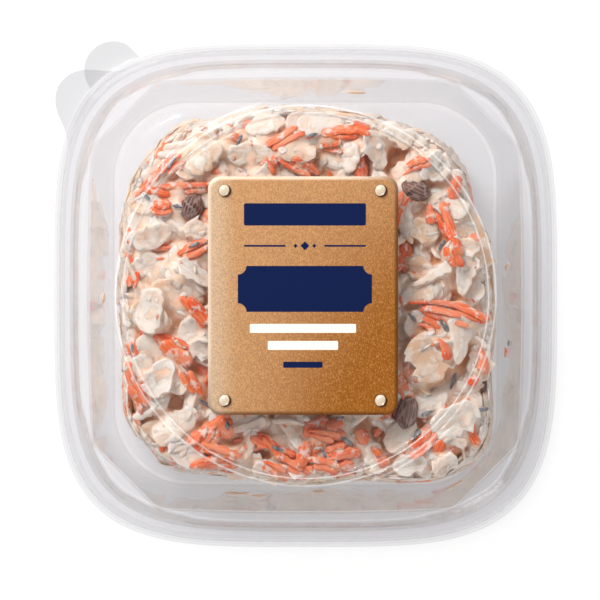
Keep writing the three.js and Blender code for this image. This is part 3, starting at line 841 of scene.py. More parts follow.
def make_lid(material):
    plug_foot = PLUG_HALF - PLUG_DRAFT
    under = LID_PANEL - LID_WALL
    flange_under = LID_TOP - LID_WALL
    bead_in, shoulder, crest_in, crest_out, bead_out = BEAD_RADII
    square, ring = RIM_SQUARENESS, 2.0
    # half, power, tabness and notch of each ring, then its level and how far its edge is rounded
    profile = [
        ((0.0, ring, 0, 0), under, 0),
        ((bead_in, ring, 0, 0), under, 0.3),
        ((shoulder + LID_WALL / 4, ring, 0, 0), under + SHOULDER_RISE, 0.2),
        ((crest_in + LID_WALL / 2, ring, 0, 0), under + BEAD_RISE, 0.3),
        ((crest_out - LID_WALL / 2, ring, 0, 0), under + BEAD_RISE, 0.8),
        ((bead_out, ring, 0, 0), under, 1.3),
        ((plug_foot + LID_WALL, square, 0, 1), under, 0.3),
        ((PLUG_HALF + LID_WALL, square, 0, 1), flange_under, 0.25),
        ((FLANGE_HALF - LID_WALL / 2, square, 0, 0), flange_under, 0.4),
        ((FLANGE_HALF + 0.9 - LID_WALL, square, 0, 0), flange_under - 0.7, 0.3),
        ((RIM_HALF - LID_WALL, square, 0, 0), SKIRT_BOTTOM, 0),
        ((RIM_HALF, square, 1, 0), SKIRT_BOTTOM, 0.12),
        ((RIM_HALF, square, 1, 0), SKIRT_BOTTOM + LID_WALL, 0.12),
        ((RIM_HALF - 0.06, square, 0, 0), SKIRT_BOTTOM + LID_WALL, 0.05),
        ((FLANGE_HALF + 0.9, square, 0, 0), LID_TOP - 1.0, 0.5),
        ((FLANGE_HALF, square, 0, 0), LID_TOP, 0.35),
        ((PLUG_HALF, square, 0, 1), LID_TOP, 0.25),
        ((plug_foot, square, 0, 1), LID_PANEL, 0.32),
        ((bead_out, ring, 0, 0), LID_PANEL, 1.3),
        ((crest_out, ring, 0, 0), LID_PANEL + BEAD_RISE, 0.5),
        ((crest_in, ring, 0, 0), LID_PANEL + BEAD_RISE, 0.35),
        ((shoulder, ring, 0, 0), LID_PANEL + SHOULDER_RISE, 0.2),
        ((bead_in, ring, 0, 0), LID_PANEL, 0.35),
        ((0.0, ring, 0, 0), LID_PANEL, 0),
    ]
    rows = eased(profile)
    values = np.array([sum(share * np.array(profile[j][0]) for j, share in shares.items())
                       for shares, _, _ in rows])
    crease = [LID_CREASES.get(profile[i][0][0], 0.0) * near ** 3 for _, _, (i, near) in rows]
    base = bpy.data.meshes.new("lid_rows")
    base.from_pydata([(0, 0, 0)] * len(rows), [], [])
    give_values(base, half=values[:, 0] * MM, power=values[:, 1], tabness=values[:, 2],
                notch=values[:, 3] * NOTCH * MM, level=np.array([row[1] for row in rows]) * MM,
                crease=crease)
    return grow_shape("clear_lid", turned_skin_tree(), {
        "Directions": LID_DIRECTIONS, "Tab Distance": math.hypot(*LID_TAB) * MM,
        "Tab Heading": math.atan2(LID_TAB[1], LID_TAB[0]), "Tab Radius": TAB_RADIUS * MM,
        "Material": material,
    }, base)


# ---------------------------------------------------------------- label


def rounded_rectangle(half_x, half_y, corner, steps=10):
    spots = []
    for turn, (sx, sy) in enumerate(((1, 1), (-1, 1), (-1, -1), (1, -1))):
        for step in range(steps + 1):
            angle = turn * QUARTER + QUARTER * step / steps
            spots.append((sx * (half_x - corner) + corner * math.cos(angle),
                          sy * (half_y - corner) + corner * math.sin(angle)))
    return spots


# The label's edge from its foot up and over: how far in, and how high.
LABEL_ROLL = (
    (0.12, 0.0), (0.0, 0.1), (0.0, 0.17), (0.07, 0.25), (0.3, 0.36), (0.6, 0.5), (0.85, 0.61),
    (1.05, 0.67), (1.3, 0.7),
)


def make_label(material):
    """A thin plate whose upper edge rolls over softly to its sides."""
    points = []
    for inset, height in LABEL_ROLL:
        ring = rounded_rectangle(LABEL_SIZE[0] / 2 - inset, LABEL_SIZE[1] / 2 - inset,
                                 LABEL_CORNER - inset)
        points += [(x + LABEL_CENTRE[0], y + LABEL_CENTRE[1], LABEL_FOOT + height) for x, y in ring]
    count = len(points) // len(LABEL_ROLL)
    faces = [tuple(reversed(range(count)))]
    for ring in range(len(LABEL_ROLL) - 1):
        for i in range(count):
            j = (i + 1) % count
            low, high = ring * count, (ring + 1) * count
            faces.append((low + i, low + j, high + j, high + i))
    faces.append(tuple(range((len(LABEL_ROLL) - 1) * count, len(LABEL_ROLL) * count)))
    return new_piece("label_plate", points, faces, material)


def studs_tree():
    """Domed studs at the corners of a rectangle."""
    bench = Shape("studs", {
        "Spread X": "Float", "Spread Y": "Float", "Radius": "Float", "Height": "Float",
        "Centre": "Vector",
    })
    corners = bench.add("GeometryNodeMeshGrid", {
        "Size X": bench.input("Spread X"), "Size Y": bench.input("Spread Y"),
        "Vertices X": 2, "Vertices Y": 2,
    })
    placed = bench.add("GeometryNodeTransform",
                       {"Geometry": corners, "Translation": bench.input("Centre")})
    ball = bench.add("GeometryNodeMeshUVSphere", {"Segments": 32, "Rings": 16, "Radius": 1.0})
    radius = bench.input("Radius")
    size = bench.add("ShaderNodeCombineXYZ", {0: radius, 1: radius, 2: bench.input("Height")})
    dome = bench.add("GeometryNodeTransform", {"Geometry": ball, "Scale": size})
    return bench.close(bench.add("GeometryNodeInstanceOnPoints",
                                 {"Points": placed, "Instance": dome}))


def make_studs(material):
    return grow_shape("label_studs", studs_tree(), {
        "Spread X": (LABEL_SIZE[0] - 2 * STUD_INSET[0]) * MM,
        "Spread Y": (LABEL_SIZE[1] - 2 * STUD_INSET[1]) * MM,
        "Radius": STUD_RADIUS * MM, "Height": STUD_HEIGHT * MM,
        "Centre": (LABEL_CENTRE[0] * MM, LABEL_CENTRE[1] * MM, (LABEL_FOOT + LABEL_THICKNESS) * MM),
        "Material": material,
    })


# ---------------------------------------------------------------- the heap's own shape


def fill(angle):
    turn = np.mod(angle / QUARTER, 4)
    corner = np.array(CORNER_FILL)[np.minimum(turn.astype(int), 3)]
    return 1 - (1 - corner) * np.sin(np.mod(turn, 1) * math.pi) ** 2


def heap_line(angle):
    ragged = 0.5 * np.sin(7 * angle + 1) + 0.4 * np.sin(13 * angle + 4)
    return (floor_line(angle) - WALL_CLEAR) * fill(angle) - HEAP_INSET + ragged


def side_line(angle, z):
    return heap_line(angle) - HEAP_LEAN * z / HEAP_EDGE + 0.6 * np.sin(9 * angle + z / 3)


def heap_top(x, y):
    share = np.minimum(np.hypot(x, y) / heap_line(np.arctan2(y, x)), 1)
    swell = 0.9 * np.sin(x / 6 + 1) * np.cos(y / 7) + 0.6 * np.sin(x / 3.4 - y / 4.1)
    return HEAP_CENTRE + (HEAP_EDGE - HEAP_CENTRE) * share ** 3 + swell


def wall_inside(angle, z):
    """Radius of the tub's inner wall at a height."""
    share = np.clip((z - TUB_WALL) / (LEDGE - TUB_WALL), 0, 1)
    return floor_line(angle) * (1 - share) + mouth(angle) * share


CORE_DOWN = 3.6     # how far the bare core lies below the heap's plain top
CORE_IN = 1.4       # and behind its outline
CORE_HEIGHTS = (4, 8, 14, 20, 25, 30)
CORE_SIDES = 120
CORE_SHARES = (0.95, 0.9, 0.84, 0.76, 0.68, 0.6, 0.5, 0.4, 0.3, 0.2, 0.1)


def sunk(by):
    """The heap's plain top, lowered."""
    return lambda x, y: heap_top(x, y) - by


def core_skin(side_heights, foot, top, sides=CORE_SIDES, shares=CORE_SHARES, inset=CORE_IN):
    """Points and faces of the plain heap: its foot, its side at some heights and its top."""
    directions = np.arange(sides) * 2 * math.pi / sides
    rings = [(outline(directions), height) for outline, height in foot]
    rings += [(side_line(directions, z) - inset, z) for z in side_heights]
    for share in shares:
        r = (heap_line(directions) - CORE_IN - HEAP_LEAN) * share
        rings.append((r, top(r * np.cos(directions), r * np.sin(directions))))
    points = [(0, 0, foot[0][1])]
    for r, height in rings:
        points += zip(r * np.cos(directions), r * np.sin(directions), height + 0 * directions)
    points.append((0, 0, float(top(np.array(0.0), np.array(0.0)))))
    return points, skin_faces(len(rings), sides)


def make_core(material):
    bottom = TUB_WALL + GAP
    foot = [
        (grown(floor_panel, -0.5), bottom + PANEL_RISE),
        (grown(floor_panel, PANEL_RAMP), bottom), (grown(heap_line, -2.2), bottom),
    ]
    points, faces = core_skin((3.2, *CORE_HEIGHTS[1:]), foot, sunk(CORE_DOWN))
    points[0] = (0, 0, bottom + PANEL_RISE)
    return new_piece("slaw_core", points, faces, material)


# ---------------------------------------------------------------- laying shreds over each other

CELL = 0.3


def blurred(field, reach, around=False):
    """The field smoothed over a reach in millimetres. Its edges carry on flat, or round."""
    pad = int(3 * reach / CELL) + 1
    wide = np.pad(field, ((pad, pad), (0, 0)), "wrap" if around else "edge")
    wide = np.pad(wide, ((0, 0), (pad, pad)), "edge")
    fu = np.fft.fftfreq(wide.shape[0])[:, None]
    fv = np.fft.rfftfreq(wide.shape[1])[None, :]
    falloff = np.exp(-2 * (math.pi * reach / CELL) ** 2 * (fu ** 2 + fv ** 2))
    smooth = np.fft.irfft2(np.fft.rfft2(wide) * falloff, wide.shape)
    return smooth[pad:-pad, pad:-pad]


class Bed:
    """How high the shreds lie so far, over a flat map of the heap's top or side."""

    def __init__(self, low, size, around, start, surface, roof=None):
        self.low = low
        self.shape = (round(size[0] / CELL), round(size[1] / CELL))
        self.around = around
        self.u = low[0] + (np.arange(self.shape[0]) + 0.5) * CELL
        self.v = low[1] + (np.arange(self.shape[1]) + 0.5) * CELL
        self.height = start(self.u[:, None], self.v[None, :])
        self.surface = surface
        self.roof = roof

    def cells(self, u, v):
        i = np.floor((u - self.low[0]) / CELL).astype(int)
        i = i % self.shape[0] if self.around else np.clip(i, 0, self.shape[0] - 1)
        return i, np.clip(np.floor((v - self.low[1]) / CELL).astype(int), 0, self.shape[1] - 1)

    def at(self, u, v):
        return self.height[self.cells(u, v)]

    def cover(self, u, v, top):
        np.maximum.at(self.height, self.cells(u, v), top)

    def settle(self, reach, drop):
        """Dressing runs into the hollows between what lies here."""
        self.height = np.maximum(self.height, blurred(self.height, reach, self.around) - drop)

    def keep_skin(self):
        """Keeps the smooth skin over all that lies here now."""
        filled = np.maximum(self.height, blurred(self.height, 1.5, self.around))
        self.skin = blurred(filled, 2.0, self.around)


class Kind:
    """One kind of shred: the points of all that are laid, with the same faces for each."""

    def __init__(self, stations, sides, squareness):
        self.stations, self.sides = stations, sides
        self.share = 0.5 - 0.5 * np.cos(np.pi * (np.arange(stations) + 0.5) / stations)
        angle = 2 * np.pi * np.arange(sides) / sides
        self.across = np.sign(np.cos(angle)) * np.abs(np.cos(angle)) ** (2 / squareness)
        self.up = np.sign(np.sin(angle)) * np.abs(np.sin(angle)) ** (2 / squareness)
        self.points, self.grain, self.own = [], [], []

    def add(self, rings, ends, grain, own):
        self.points.append(np.concatenate([ends[:1], rings.reshape(-1, 3), ends[1:]]))
        self.grain.append(np.concatenate([grain[:1], grain, grain[-1:]]))
        self.own.append(np.full(len(grain) + 2, own))

    def faces(self):
        single = skin_faces(self.stations, self.sides)
        each = self.stations * self.sides + 2
        return [tuple(v + piece * each for v in face)
                for piece in range(len(self.points)) for face in single]

    def mark(self):
        """Remembers how many shreds lie on the side, before any lies on top."""
        self.on_side = len(self.points)

    def skin(self, on_top):
        """Points and faces of the shreds on top, or of those on the side."""
        pieces = self.points[self.on_side:] if on_top else self.points[:self.on_side]
        faces = self.faces()
        per_piece = len(faces) // len(self.points)
        return np.concatenate(pieces), faces[:per_piece * len(pieces)]

    def piece(self, name, material, deepness):
        points = np.concatenate(self.points)
        return new_piece(name, points, self.faces(), material, grain=np.concatenate(self.grain),
                         own=np.concatenate(self.own), deep=deepness(points))


rng = np.random.default_rng(20)
FINE = 28


def wavering(share, amount, low=1.5, high=5.0):
    """A ragged edge: a few waves along the shred, around 1."""
    value = np.zeros_like(share)
    for _ in range(3):
        size = rng.uniform(0.3, 1)
        turns = share * rng.uniform(low, high) * 2 * np.pi
        value += size * np.sin(turns + rng.uniform(0, 6.3))
    return 1 + amount * value / 1.8


def width_profile(kind_of_tip, share, length):
    """Half width along the shred, 1 in its middle: cut off blunt, pointed, or leaf shaped."""
    blunt = np.clip(np.minimum(share, 1 - share) * length / 1.2, 0.001, 1) ** 0.5
    if kind_of_tip == "blunt":
        return blunt
    if kind_of_tip == "wedge":
        return blunt * (0.28 + 0.72 * share)
    if kind_of_tip == "torn":
        teeth = np.abs(np.mod(share * length / 2.3 + 0.3, 1.0) - 0.5) * 2
        return blunt * (0.62 + 0.38 * np.sin(np.pi * share)) * (1 - 0.22 * teeth * (share > 0.55))
    if kind_of_tip == "leaf":
        return np.sin(np.pi * np.clip(share, 0.002, 0.998)) ** 0.5
    return blunt * np.sin(np.pi * (0.12 + 0.76 * share)) ** 0.8


def rest_line(bed, u, v, normal, width, length, stiffness):
    """Heights along a shred's middle, and its lean, as it bends over what lies below."""
    offsets = np.array([-0.8, -0.4, 0, 0.4, 0.8]) * width / 2
    below = bed.at(u[:, None] + normal[0][:, None] * offsets,
                   v[:, None] + normal[1][:, None] * offsets)
    raw = 0.5 * below.max(1) + 0.5 * below.mean(1)
    lean = (below[:, 3:].mean(1) - below[:, :2].mean(1)) / (1.2 * width / 2)
    share = np.linspace(0, 1, len(u))
    weight = np.exp(-0.5 * ((share[:, None] - share[None, :]) * length / stiffness) ** 2)
    weight /= weight.sum(1, keepdims=True)
    line = weight @ raw
    line += 0.4 * max((raw - line).max(), 0)
    return line, np.clip(weight @ lean, -0.45, 0.45)


def lay(bed, kind, u, v, heading, length, width, thickness, tip="blunt", curl=0.0, sway=0.0,
        cup=0.0, sink=0.3, tilt=0.0, lift=(0.0, 0.0), ragged=0.08, stiffness=3.0, limit=None):
    """Lays one shred with its middle at (u, v) on what is there, and covers the bed with it."""
    share = np.linspace(0, 1, FINE)
    turn = heading + curl * (share - 0.5) + sway * np.sin(2 * np.pi * share)
    step = length / (FINE - 1)
    mu, mv = np.cumsum(np.cos(turn)) * step, np.cumsum(np.sin(turn)) * step
    mu, mv = mu - mu.mean() + u, mv - mv.mean() + v
    left = wavering(share, ragged) * width_profile(tip, share, length) * width / 2
    right = wavering(share, ragged) * width_profile(tip, share, length) * width / 2
    normal = (-np.sin(turn), np.cos(turn))
    if limit:
        for _ in range(3):
            move = limit(mu, mv, width / 2)
            mu, mv = mu + move[0], mv + move[1]
    line, lean = rest_line(bed, mu, mv, normal, width, length, stiffness)
    lean = lean + tilt
    line = line + lift[0] * (1 - share) ** 3 + lift[1] * share ** 3
    if bed.roof:
        line = np.minimum(line, bed.roof(mv) - thickness * (1 - sink))
    middle = line + thickness * (0.5 - sink)
    shape = kinds[kind]
    s = shape.share

    def along(values):
        return np.interp(s, share, values)[:, None]

    side = np.where(shape.across[None, :] > 0, along(left), along(right))
    out = side * shape.across[None, :]
    thick = thickness / 2 * np.minimum(1, width_profile("blunt", s, length)[:, None] * 1.05)
    thin_edge = 1 - 0.35 * (np.abs(shape.across[None, :]) ** 3) * (tip == "leaf")
    rise = thick * shape.up[None, :] * thin_edge
    nu, nv = along(normal[0]), along(normal[1])
    roll = along(lean)
    ru = along(mu) + nu * (out - rise * roll)
    rv = along(mv) + nv * (out - rise * roll)
    rz = along(middle) + roll * out + cup * out ** 2 / max(width / 2, 1) + rise
    rings = np.stack([ru, rv, rz], -1)
    ends = np.array([rings[0].mean(0), rings[-1].mean(0)])
    grain = np.stack([np.broadcast_to(s[:, None] * length, out.shape), out,
                      np.full(out.shape, rng.uniform(0, 40))], -1).reshape(-1, 3)
    shape.add(bed.surface(rings), bed.surface(ends), grain, rng.uniform())
    many_s = np.linspace(0, 1, int(length / CELL * 1.3) + 2)
    many_a = np.linspace(-1, 1, int(width / CELL * 1.3) + 2)[None, :]

    def dense(values):
        return np.interp(many_s, share, values)[:, None]

    reach = np.where(many_a > 0, dense(left), dense(right)) * many_a
    top = dense(middle) + dense(lean) * reach + cup * reach ** 2 / max(width / 2, 1)
    top = top + thickness / 2 * np.sqrt(np.clip(1 - many_a ** 4, 0, 1))
    bed.cover(dense(mu) + dense(normal[0]) * reach, dense(mv) + dense(normal[1]) * reach, top)


# ---------------------------------------------------------------- the salad


def inside_heap(mu, mv, half_width):
    """How far to move a shred so that it stays within the heap's outline."""
    angle = np.arctan2(mv, mu)
    edge = heap_line(angle) - HEAP_LEAN + HEAP_INSET - 0.7 - 0.6 * half_width
    over = np.hypot(mu, mv) - edge
    worst = int(np.argmax(over))
    if over[worst] <= 0:
        return 0.0, 0.0
    return -over[worst] * math.cos(angle[worst]), -over[worst] * math.sin(angle[worst])


SIDE_RADIUS = 56.0
SIDE_ROUND = 2 * math.pi * SIDE_RADIUS
SIDE_SIZE = (SIDE_ROUND, 38)
SIDE_LOW, SIDE_HIGH = 2.0, 36.0
OFF_WALL = 0.35         # the least room between the heap's side and the wall
STRAY_DEPTH = 0.6       # how far a stray bit's middle lies off the wall
PROUD_EASE = 0.7        # the share by which what stands out too far is eased back


def inside_side(mu, mv, half_width):
    """How far to move a shred so that it stays within the side's height."""
    low, high = mv.min() - 0.5 * half_width, mv.max() + 0.5 * half_width
    return 0.0, max(SIDE_LOW - low, 0) - max(high - SIDE_HIGH, 0)


def on_ring(angle, r, z):
    return np.stack([r * np.cos(angle), r * np.sin(angle), z], -1)


def side_roof(z):
    """How far the shreds may stand out from the heap's side."""
    return 2.6 - 0.06 * z


def side_surface(spots):
    """Lies on the heap's side, eased back where it stands out far."""
    angle = spots[..., 0] / SIDE_RADIUS
    z = np.clip(spots[..., 1], TUB_WALL + 0.6, 60)
    over = np.maximum(spots[..., 2] - side_roof(z), 0)
    proud = spots[..., 2] - PROUD_EASE * over
    r = np.minimum(side_line(angle, z) + proud, wall_inside(angle, z) - OFF_WALL)
    r = np.where(z < TUB_WALL + CREASE, np.minimum(r, floor_line(angle) - CREASE), r)
    return on_ring(angle, r, z)


def wall_surface(spots):
    """Lies on the inside of the tub's wall, flattened where it touches."""
    angle, z = spots[..., 0] / SIDE_RADIUS, spots[..., 1]
    wall = wall_inside(angle, z)
    return on_ring(angle, np.minimum(wall - STRAY_DEPTH + spots[..., 2], wall - 0.02), z)


def top_start(u, v):
    inside = np.hypot(u, v) < heap_line(np.arctan2(v, u)) + 1
    return np.where(inside, heap_top(u, v) - 3.2, HEAP_EDGE - 6)


def level_start(height):
    return lambda u, v: np.full((u.size, v.size), height)


top_bed = Bed((-60, -60), (120, 120), False, top_start, lambda spots: spots)
side_bed = Bed((0, 0), SIDE_SIZE, True, level_start(-1.6), side_surface, side_roof)
wall_bed = Bed((0, 0), SIDE_SIZE, True, level_start(0.0), wall_surface)

kinds = {
    "leaf": Kind(14, 12, 3.4),
    "shred": Kind(10, 8, 3.0),
    "carrot": Kind(12, 8, 3.6),
    "herb": Kind(8, 8, 3.0),
}

DEGREE = math.pi / 180

# Carrot sticks that stand out: x, y, heading in degrees, length, width.
CARROTS = (
    (-36.5, 30, 3, 21, 3.0), (-37.5, 36.5, 38, 9, 4.0), (-40.9, 24.8, -5, 7, 3.6),
    (-31.2, 13, 20, 11, 3.6), (-48.5, 4.5, 80, 5, 3.2), (-30.5, -4.5, -45, 14, 3.2),
    (-37.5, -15.5, -34, 15, 2.6), (-32.5, -24, -62, 10.5, 3.8), (-49, -25.5, -80, 13, 3.6),
    (-47, -29, -65, 11, 3.2), (-50, -16, -70, 6, 2.6), (-25.5, -36.8, 28, 13, 3.4),
    (-28.5, -41.5, 40, 8, 2.8), (-24.5, -44.5, -20, 9, 3.2), (-26, -47, 6, 17, 3.2),
    (-5.5, -44.8, -33, 17, 3.0), (-3.5, -48.5, -20, 11, 4.5), (-6, -51, -5, 5, 2.4),
    (3.8, -40.5, 55, 12, 3.0), (7.5, -38.8, -12, 10, 3.2), (6.8, -48, 0, 5, 3.0),
    (12.5, -47.5, 10, 6, 2.6), (10, -43, 20, 9, 3.0), (22, -46.8, 15, 5, 2.2),
    (32.5, -41.5, 44, 10, 4.0), (37.5, -42.5, 60, 5, 2.4), (-6.5, 43.8, 31, 12.5, 3.2),
    (9.8, 45.4, 2, 12, 3.4), (7.6, 41.8, 6, 8, 3.2), (-2.5, 36.2, -22, 11, 3.6),
    (-9.5, 37.5, -70, 5, 3.0), (-20.5, 44.5, 10, 4, 2.2), (16, 46.8, -25, 6, 3.0),
    (32, 36.8, 22, 9, 3.0), (48.5, 34.5, 78, 8, 2.6), (40, 18.5, -62, 19, 3.2),
    (41.5, 10.5, -64, 8, 3.6), (35, 23, -85, 6, 2.4), (39.8, -4, -12, 27, 3.2),
    (38.8, -5.6, -18, 15, 3.0), (35, -8.5, -30, 6, 3.6), (39.2, -15.5, -58, 6.8, 2.6),
    (51.2, -19, -80, 8, 2.6), (51, 17, 10, 4.5, 2.4), (46.8, -24.5, 30, 4, 2.0),
    (-29.7, -39.3, 35, 9, 2.6), (-26.4, -40.7, 60, 8, 3.0), (-22.7, -37.9, -45, 8, 2.6),
    (-24.1, -44.1, -20, 12, 3.0), (-12.3, -40.7, -25, 9, 2.8), (-7.2, -43.5, -35, 14, 3.0),
    (-9.5, -48.6, -30, 9, 3.4), (2.6, -36.9, 40, 10, 2.6), (4.6, -39.3, -10, 9, 3.0),
    (8.2, -36.1, 20, 7, 2.6), (-0.2, -43.5, 75, 8, 2.4), (5.4, -47.7, -15, 10, 3.0),
    (11, -44.9, 20, 9, 2.8), (15.8, -39.3, -60, 6, 2.4), (20.3, -44.1, -30, 5, 2.2),
)

# Broad pieces of cabbage that stand out: x, y, heading in degrees, length, width.
LEAVES = (
    (-11.4, 47.9, 15, 12, 6), (4, 47.9, 0, 13, 7), (-2.4, 40.3, -10, 11, 7),
    (-15.4, 39.4, 0, 13.6, 6.7), (12.5, 38.6, 80, 9, 5), (19.5, 40.8, -70, 12, 6),
    (26.5, 46.4, -20, 10, 7), (33.5, 36.6, 50, 13, 5), (39.2, 40.8, 60, 10, 4),
    (-28.3, 38.6, 45, 12, 8), (-45.8, 17.5, 20, 12, 7), (-31.1, 6.5, -35, 12, 5),
    (-43.8, -4.2, 80, 13, 7), (-28.3, -15.4, -10, 9, 6), (-41, -23.3, 60, 12, 8),
    (-33.9, -43.5, 20, 12, 6), (-37.6, -37.4, 35, 15, 8), (-17.1, -37.1, 15, 13, 3.8),
    (-15.7, -42.1, 75, 9, 4), (-10.6, -49.2, 0, 9, 6), (27.1, -39.3, 60, 12, 8),
    (29.3, -47.7, 10, 10, 6), (42, -35.1, 30, 15, 10), (42, -41.3, -10, 7, 4),
    (39.2, -47.7, 35, 8, 5), (46.2, -23.8, 40, 9, 6), (33.5, -18.2, -60, 14, 9),
    (43.4, -12.6, 85, 14, 8.5), (44.8, 5.7, 80, 12, 8), (35.5, 5.7, 30, 13, 4),
    (33.5, 18.3, -20, 9, 7), (46.2, 14.1, 0, 10, 6),
)

# Dark herb slivers that stand out: x, y, heading in degrees.
HERBS = (
    (-28, -30.5, -30), (11.4, -40.8, -35), (9.5, -34.6, 20), (38.8, -8.2, -60), (41.6, -24.4, 70),
    (-37.8, 37.3, 60), (-31.4, 14.2, 25), (-49, -15.1, 80), (-18.9, 43, 65),
)
LOOSE_HERBS = 14


def lowest_spot(bed, tries, pick, aim):
    """Of a few places drawn at random, the one where the heap is least full."""
    spots = [pick() for _ in range(tries)]
    return min(spots, key=lambda spot: float(bed.at(*map(np.array, spot))) - aim(*spot))


def pick_on_top():
    angle, share = rng.uniform(0, 2 * math.pi), math.sqrt(rng.uniform())
    r = float(heap_line(np.array(angle))) * share
    return r * math.cos(angle), r * math.sin(angle)


def pick_on_side():
    return rng.uniform(0, SIDE_ROUND), rng.uniform(3, 35)


def any_way():
    return rng.uniform(0, 2 * math.pi)


def lay_leaf(bed, u, v, limit, heading=None, length=None, width=None):
    """A broad cut piece of cabbage leaf with torn edges."""
    heading = any_way() if heading is None else heading
    width = width or rng.uniform(4.5, 9.5)
    length = length or width * rng.uniform(1.1, 2.0)
    lay(bed, "leaf", u, v, heading, length, width, rng.uniform(0.55, 1.0),
        ("leaf", "torn", "wedge", "blunt", "torn")[rng.integers(5)], curl=rng.normal(0, 0.4),
        cup=rng.normal(0, 0.3), sink=0.35, tilt=rng.normal(0, 0.12),
        lift=np.abs(rng.normal(0, 0.7, 2)), ragged=0.26, stiffness=4.5, limit=limit)


def lay_shred(bed, u, v, limit, heading=None, length=None, width=None):
    """A narrow cut strip of cabbage."""
    heading = any_way() if heading is None else heading
    width = width or rng.uniform(1.6, 3.8)
    lay(bed, "shred", u, v, heading, length or rng.uniform(6, 18), width,
        rng.uniform(0.7, 1.3), ("blunt", "wedge", "round")[rng.integers(3)],
        curl=rng.normal(0, 0.8), sway=rng.normal(0, 0.2), sink=0.35, tilt=rng.normal(0, 0.15),
        lift=np.abs(rng.normal(0, 0.5, 2)), ragged=0.2, stiffness=3.4, limit=limit)


def lay_carrot(bed, u, v, limit, heading=None, length=None, width=None):
    """Grated carrot: a few thin strips that lie along each other, with uneven ends."""
    heading = any_way() if heading is None else heading
    length = length or rng.uniform(6, 16)
    width = width or rng.uniform(1.6, 3.6)
    strips = max(1, round(width / 1.9))
    curl = rng.normal(0, 0.4)
    for i in range(strips):
        aside = (i - (strips - 1) / 2) * width / strips * 1.05
        along = rng.normal(0, 0.07) * length
        lay(bed, "carrot", u - aside * math.sin(heading) + along * math.cos(heading),
            v + aside * math.cos(heading) + along * math.sin(heading),
            heading + rng.normal(0, 0.07), length * rng.uniform(0.7, 1.08),
            width / strips * rng.uniform(1.2, 1.7), rng.uniform(0.6, 1.1),
            ("blunt", "wedge", "torn")[rng.integers(3)], curl=curl + rng.normal(0, 0.12),
            sway=rng.normal(0, 0.1), sink=0.45, tilt=rng.normal(0, 0.15),
            lift=np.abs(rng.normal(0, 0.2, 2)), ragged=0.3, stiffness=4.2, limit=limit)


def lay_herb(bed, u, v, limit, heading=None):
    """A dark sliver."""
    heading = any_way() if heading is None else heading
    lay(bed, "herb", u, v, heading, rng.uniform(2.8, 5.4), rng.uniform(1.2, 2.0), 0.5,
        "wedge", sink=0.1, ragged=0.2, limit=limit)


PLACES_TRIED = 5
HANDFUL = 60    # so many shreds are laid before the dressing settles


def fill_bed(bed, count, pick, aim, limit, carrots, leaves, full):
    """Lays shreds where the heap is least full, until it is as full as it should be."""
    for i in range(count):
        u, v = lowest_spot(bed, PLACES_TRIED, pick, aim)
        chance = rng.uniform()
        if chance < carrots:
            lay_carrot(bed, u, v, limit)
        elif chance < carrots + leaves:
            lay_leaf(bed, u, v, limit)
        else:
            lay_shred(bed, u, v, limit)
        if i % HANDFUL == HANDFUL - 1:
            bed.settle(1.0, 0.5)
            if full(bed):
                break


TOP_X, TOP_Y = top_bed.u[:, None], top_bed.v[None, :]
TOP_INSIDE = np.hypot(TOP_X, TOP_Y) < heap_line(np.arctan2(TOP_Y, TOP_X)) - 2
TOP_PLAIN = heap_top(TOP_X, TOP_Y)


TOP_FULL, SIDE_FULL = -0.6, 0.9     # mean height over the plain heap at which filling ends


def top_is_full(bed):
    return (bed.height - TOP_PLAIN)[TOP_INSIDE].mean() > TOP_FULL


def side_is_full(bed):
    return bed.height.mean() > SIDE_FULL


# Bits that stick to the wall beside the heap: kind, direction in degrees, height, slope,
# length, width.
STRAYS = (
    ("carrot", -16.2, 21, 70, 4.2, 2.4), ("leaf", -109, 19, 10, 6.5, 3.0),
    ("shred", -103, 23, -5, 4.5, 1.8), ("leaf", 181, 24, 80, 5.0, 2.6),
    ("herb", -13.5, 26, 60, 2.8, 1.2), ("leaf", -52, 20, 20, 5.0, 2.6),
    ("shred", 76, 24, 15, 5.5, 1.8), ("shred", 8, 22, 75, 4.8, 1.8), ("leaf", -86, 16, 5, 4.0, 2.2),
)


def lay_strays():
    for kind, direction, z, slope, length, width in STRAYS:
        along_wall = math.radians(direction % 360) * SIDE_RADIUS
        lay(wall_bed, kind, along_wall, z, slope * DEGREE, length, width, 0.6, "round",
            curl=rng.normal(0, 0.3), ragged=0.3, sink=0.1)


def rim_the_heap(limit):
    """Pieces pressed against the wall, all round the top's edge."""
    angle = 0.0
    while angle < 2 * math.pi:
        r = float(heap_line(np.array(angle))) - HEAP_LEAN
        heading = angle + QUARTER + rng.normal(0, 0.5)
        chance = rng.uniform()
        spot = (r * math.cos(angle), r * math.sin(angle))
        if chance < 0.22:
            lay_carrot(top_bed, *spot, limit, heading)
        elif chance < 0.6:
            lay_leaf(top_bed, *spot, limit, heading)
        else:
            lay_shred(top_bed, *spot, limit, heading)
        angle += rng.uniform(3.0, 6.5) / r


def lay_salad():
    fill_bed(side_bed, 700, pick_on_side, lambda u, v: 0.0, inside_side,
             carrots=0.12, leaves=0.4, full=side_is_full)
    lay_strays()
    for shape in kinds.values():
        shape.mark()
    rim_the_heap(inside_heap)
    fill_bed(top_bed, 900, pick_on_top, heap_top, inside_heap,
             carrots=0.19, leaves=0.34, full=top_is_full)
    for x, y, heading, length, width in LEAVES:
        lay_leaf(top_bed, x, y, inside_heap, heading * DEGREE, length, width)
    for x, y, heading, length, width in CARROTS:
        lay_carrot(top_bed, x, y, inside_heap, heading * DEGREE, length, width)
    for x, y, heading in HERBS:
        lay_herb(top_bed, x, y, inside_heap, heading * DEGREE)
    for _ in range(LOOSE_HERBS):
        lay_herb(top_bed, *pick_on_top(), inside_heap)
    top_bed.keep_skin()
    side_bed.keep_skin()


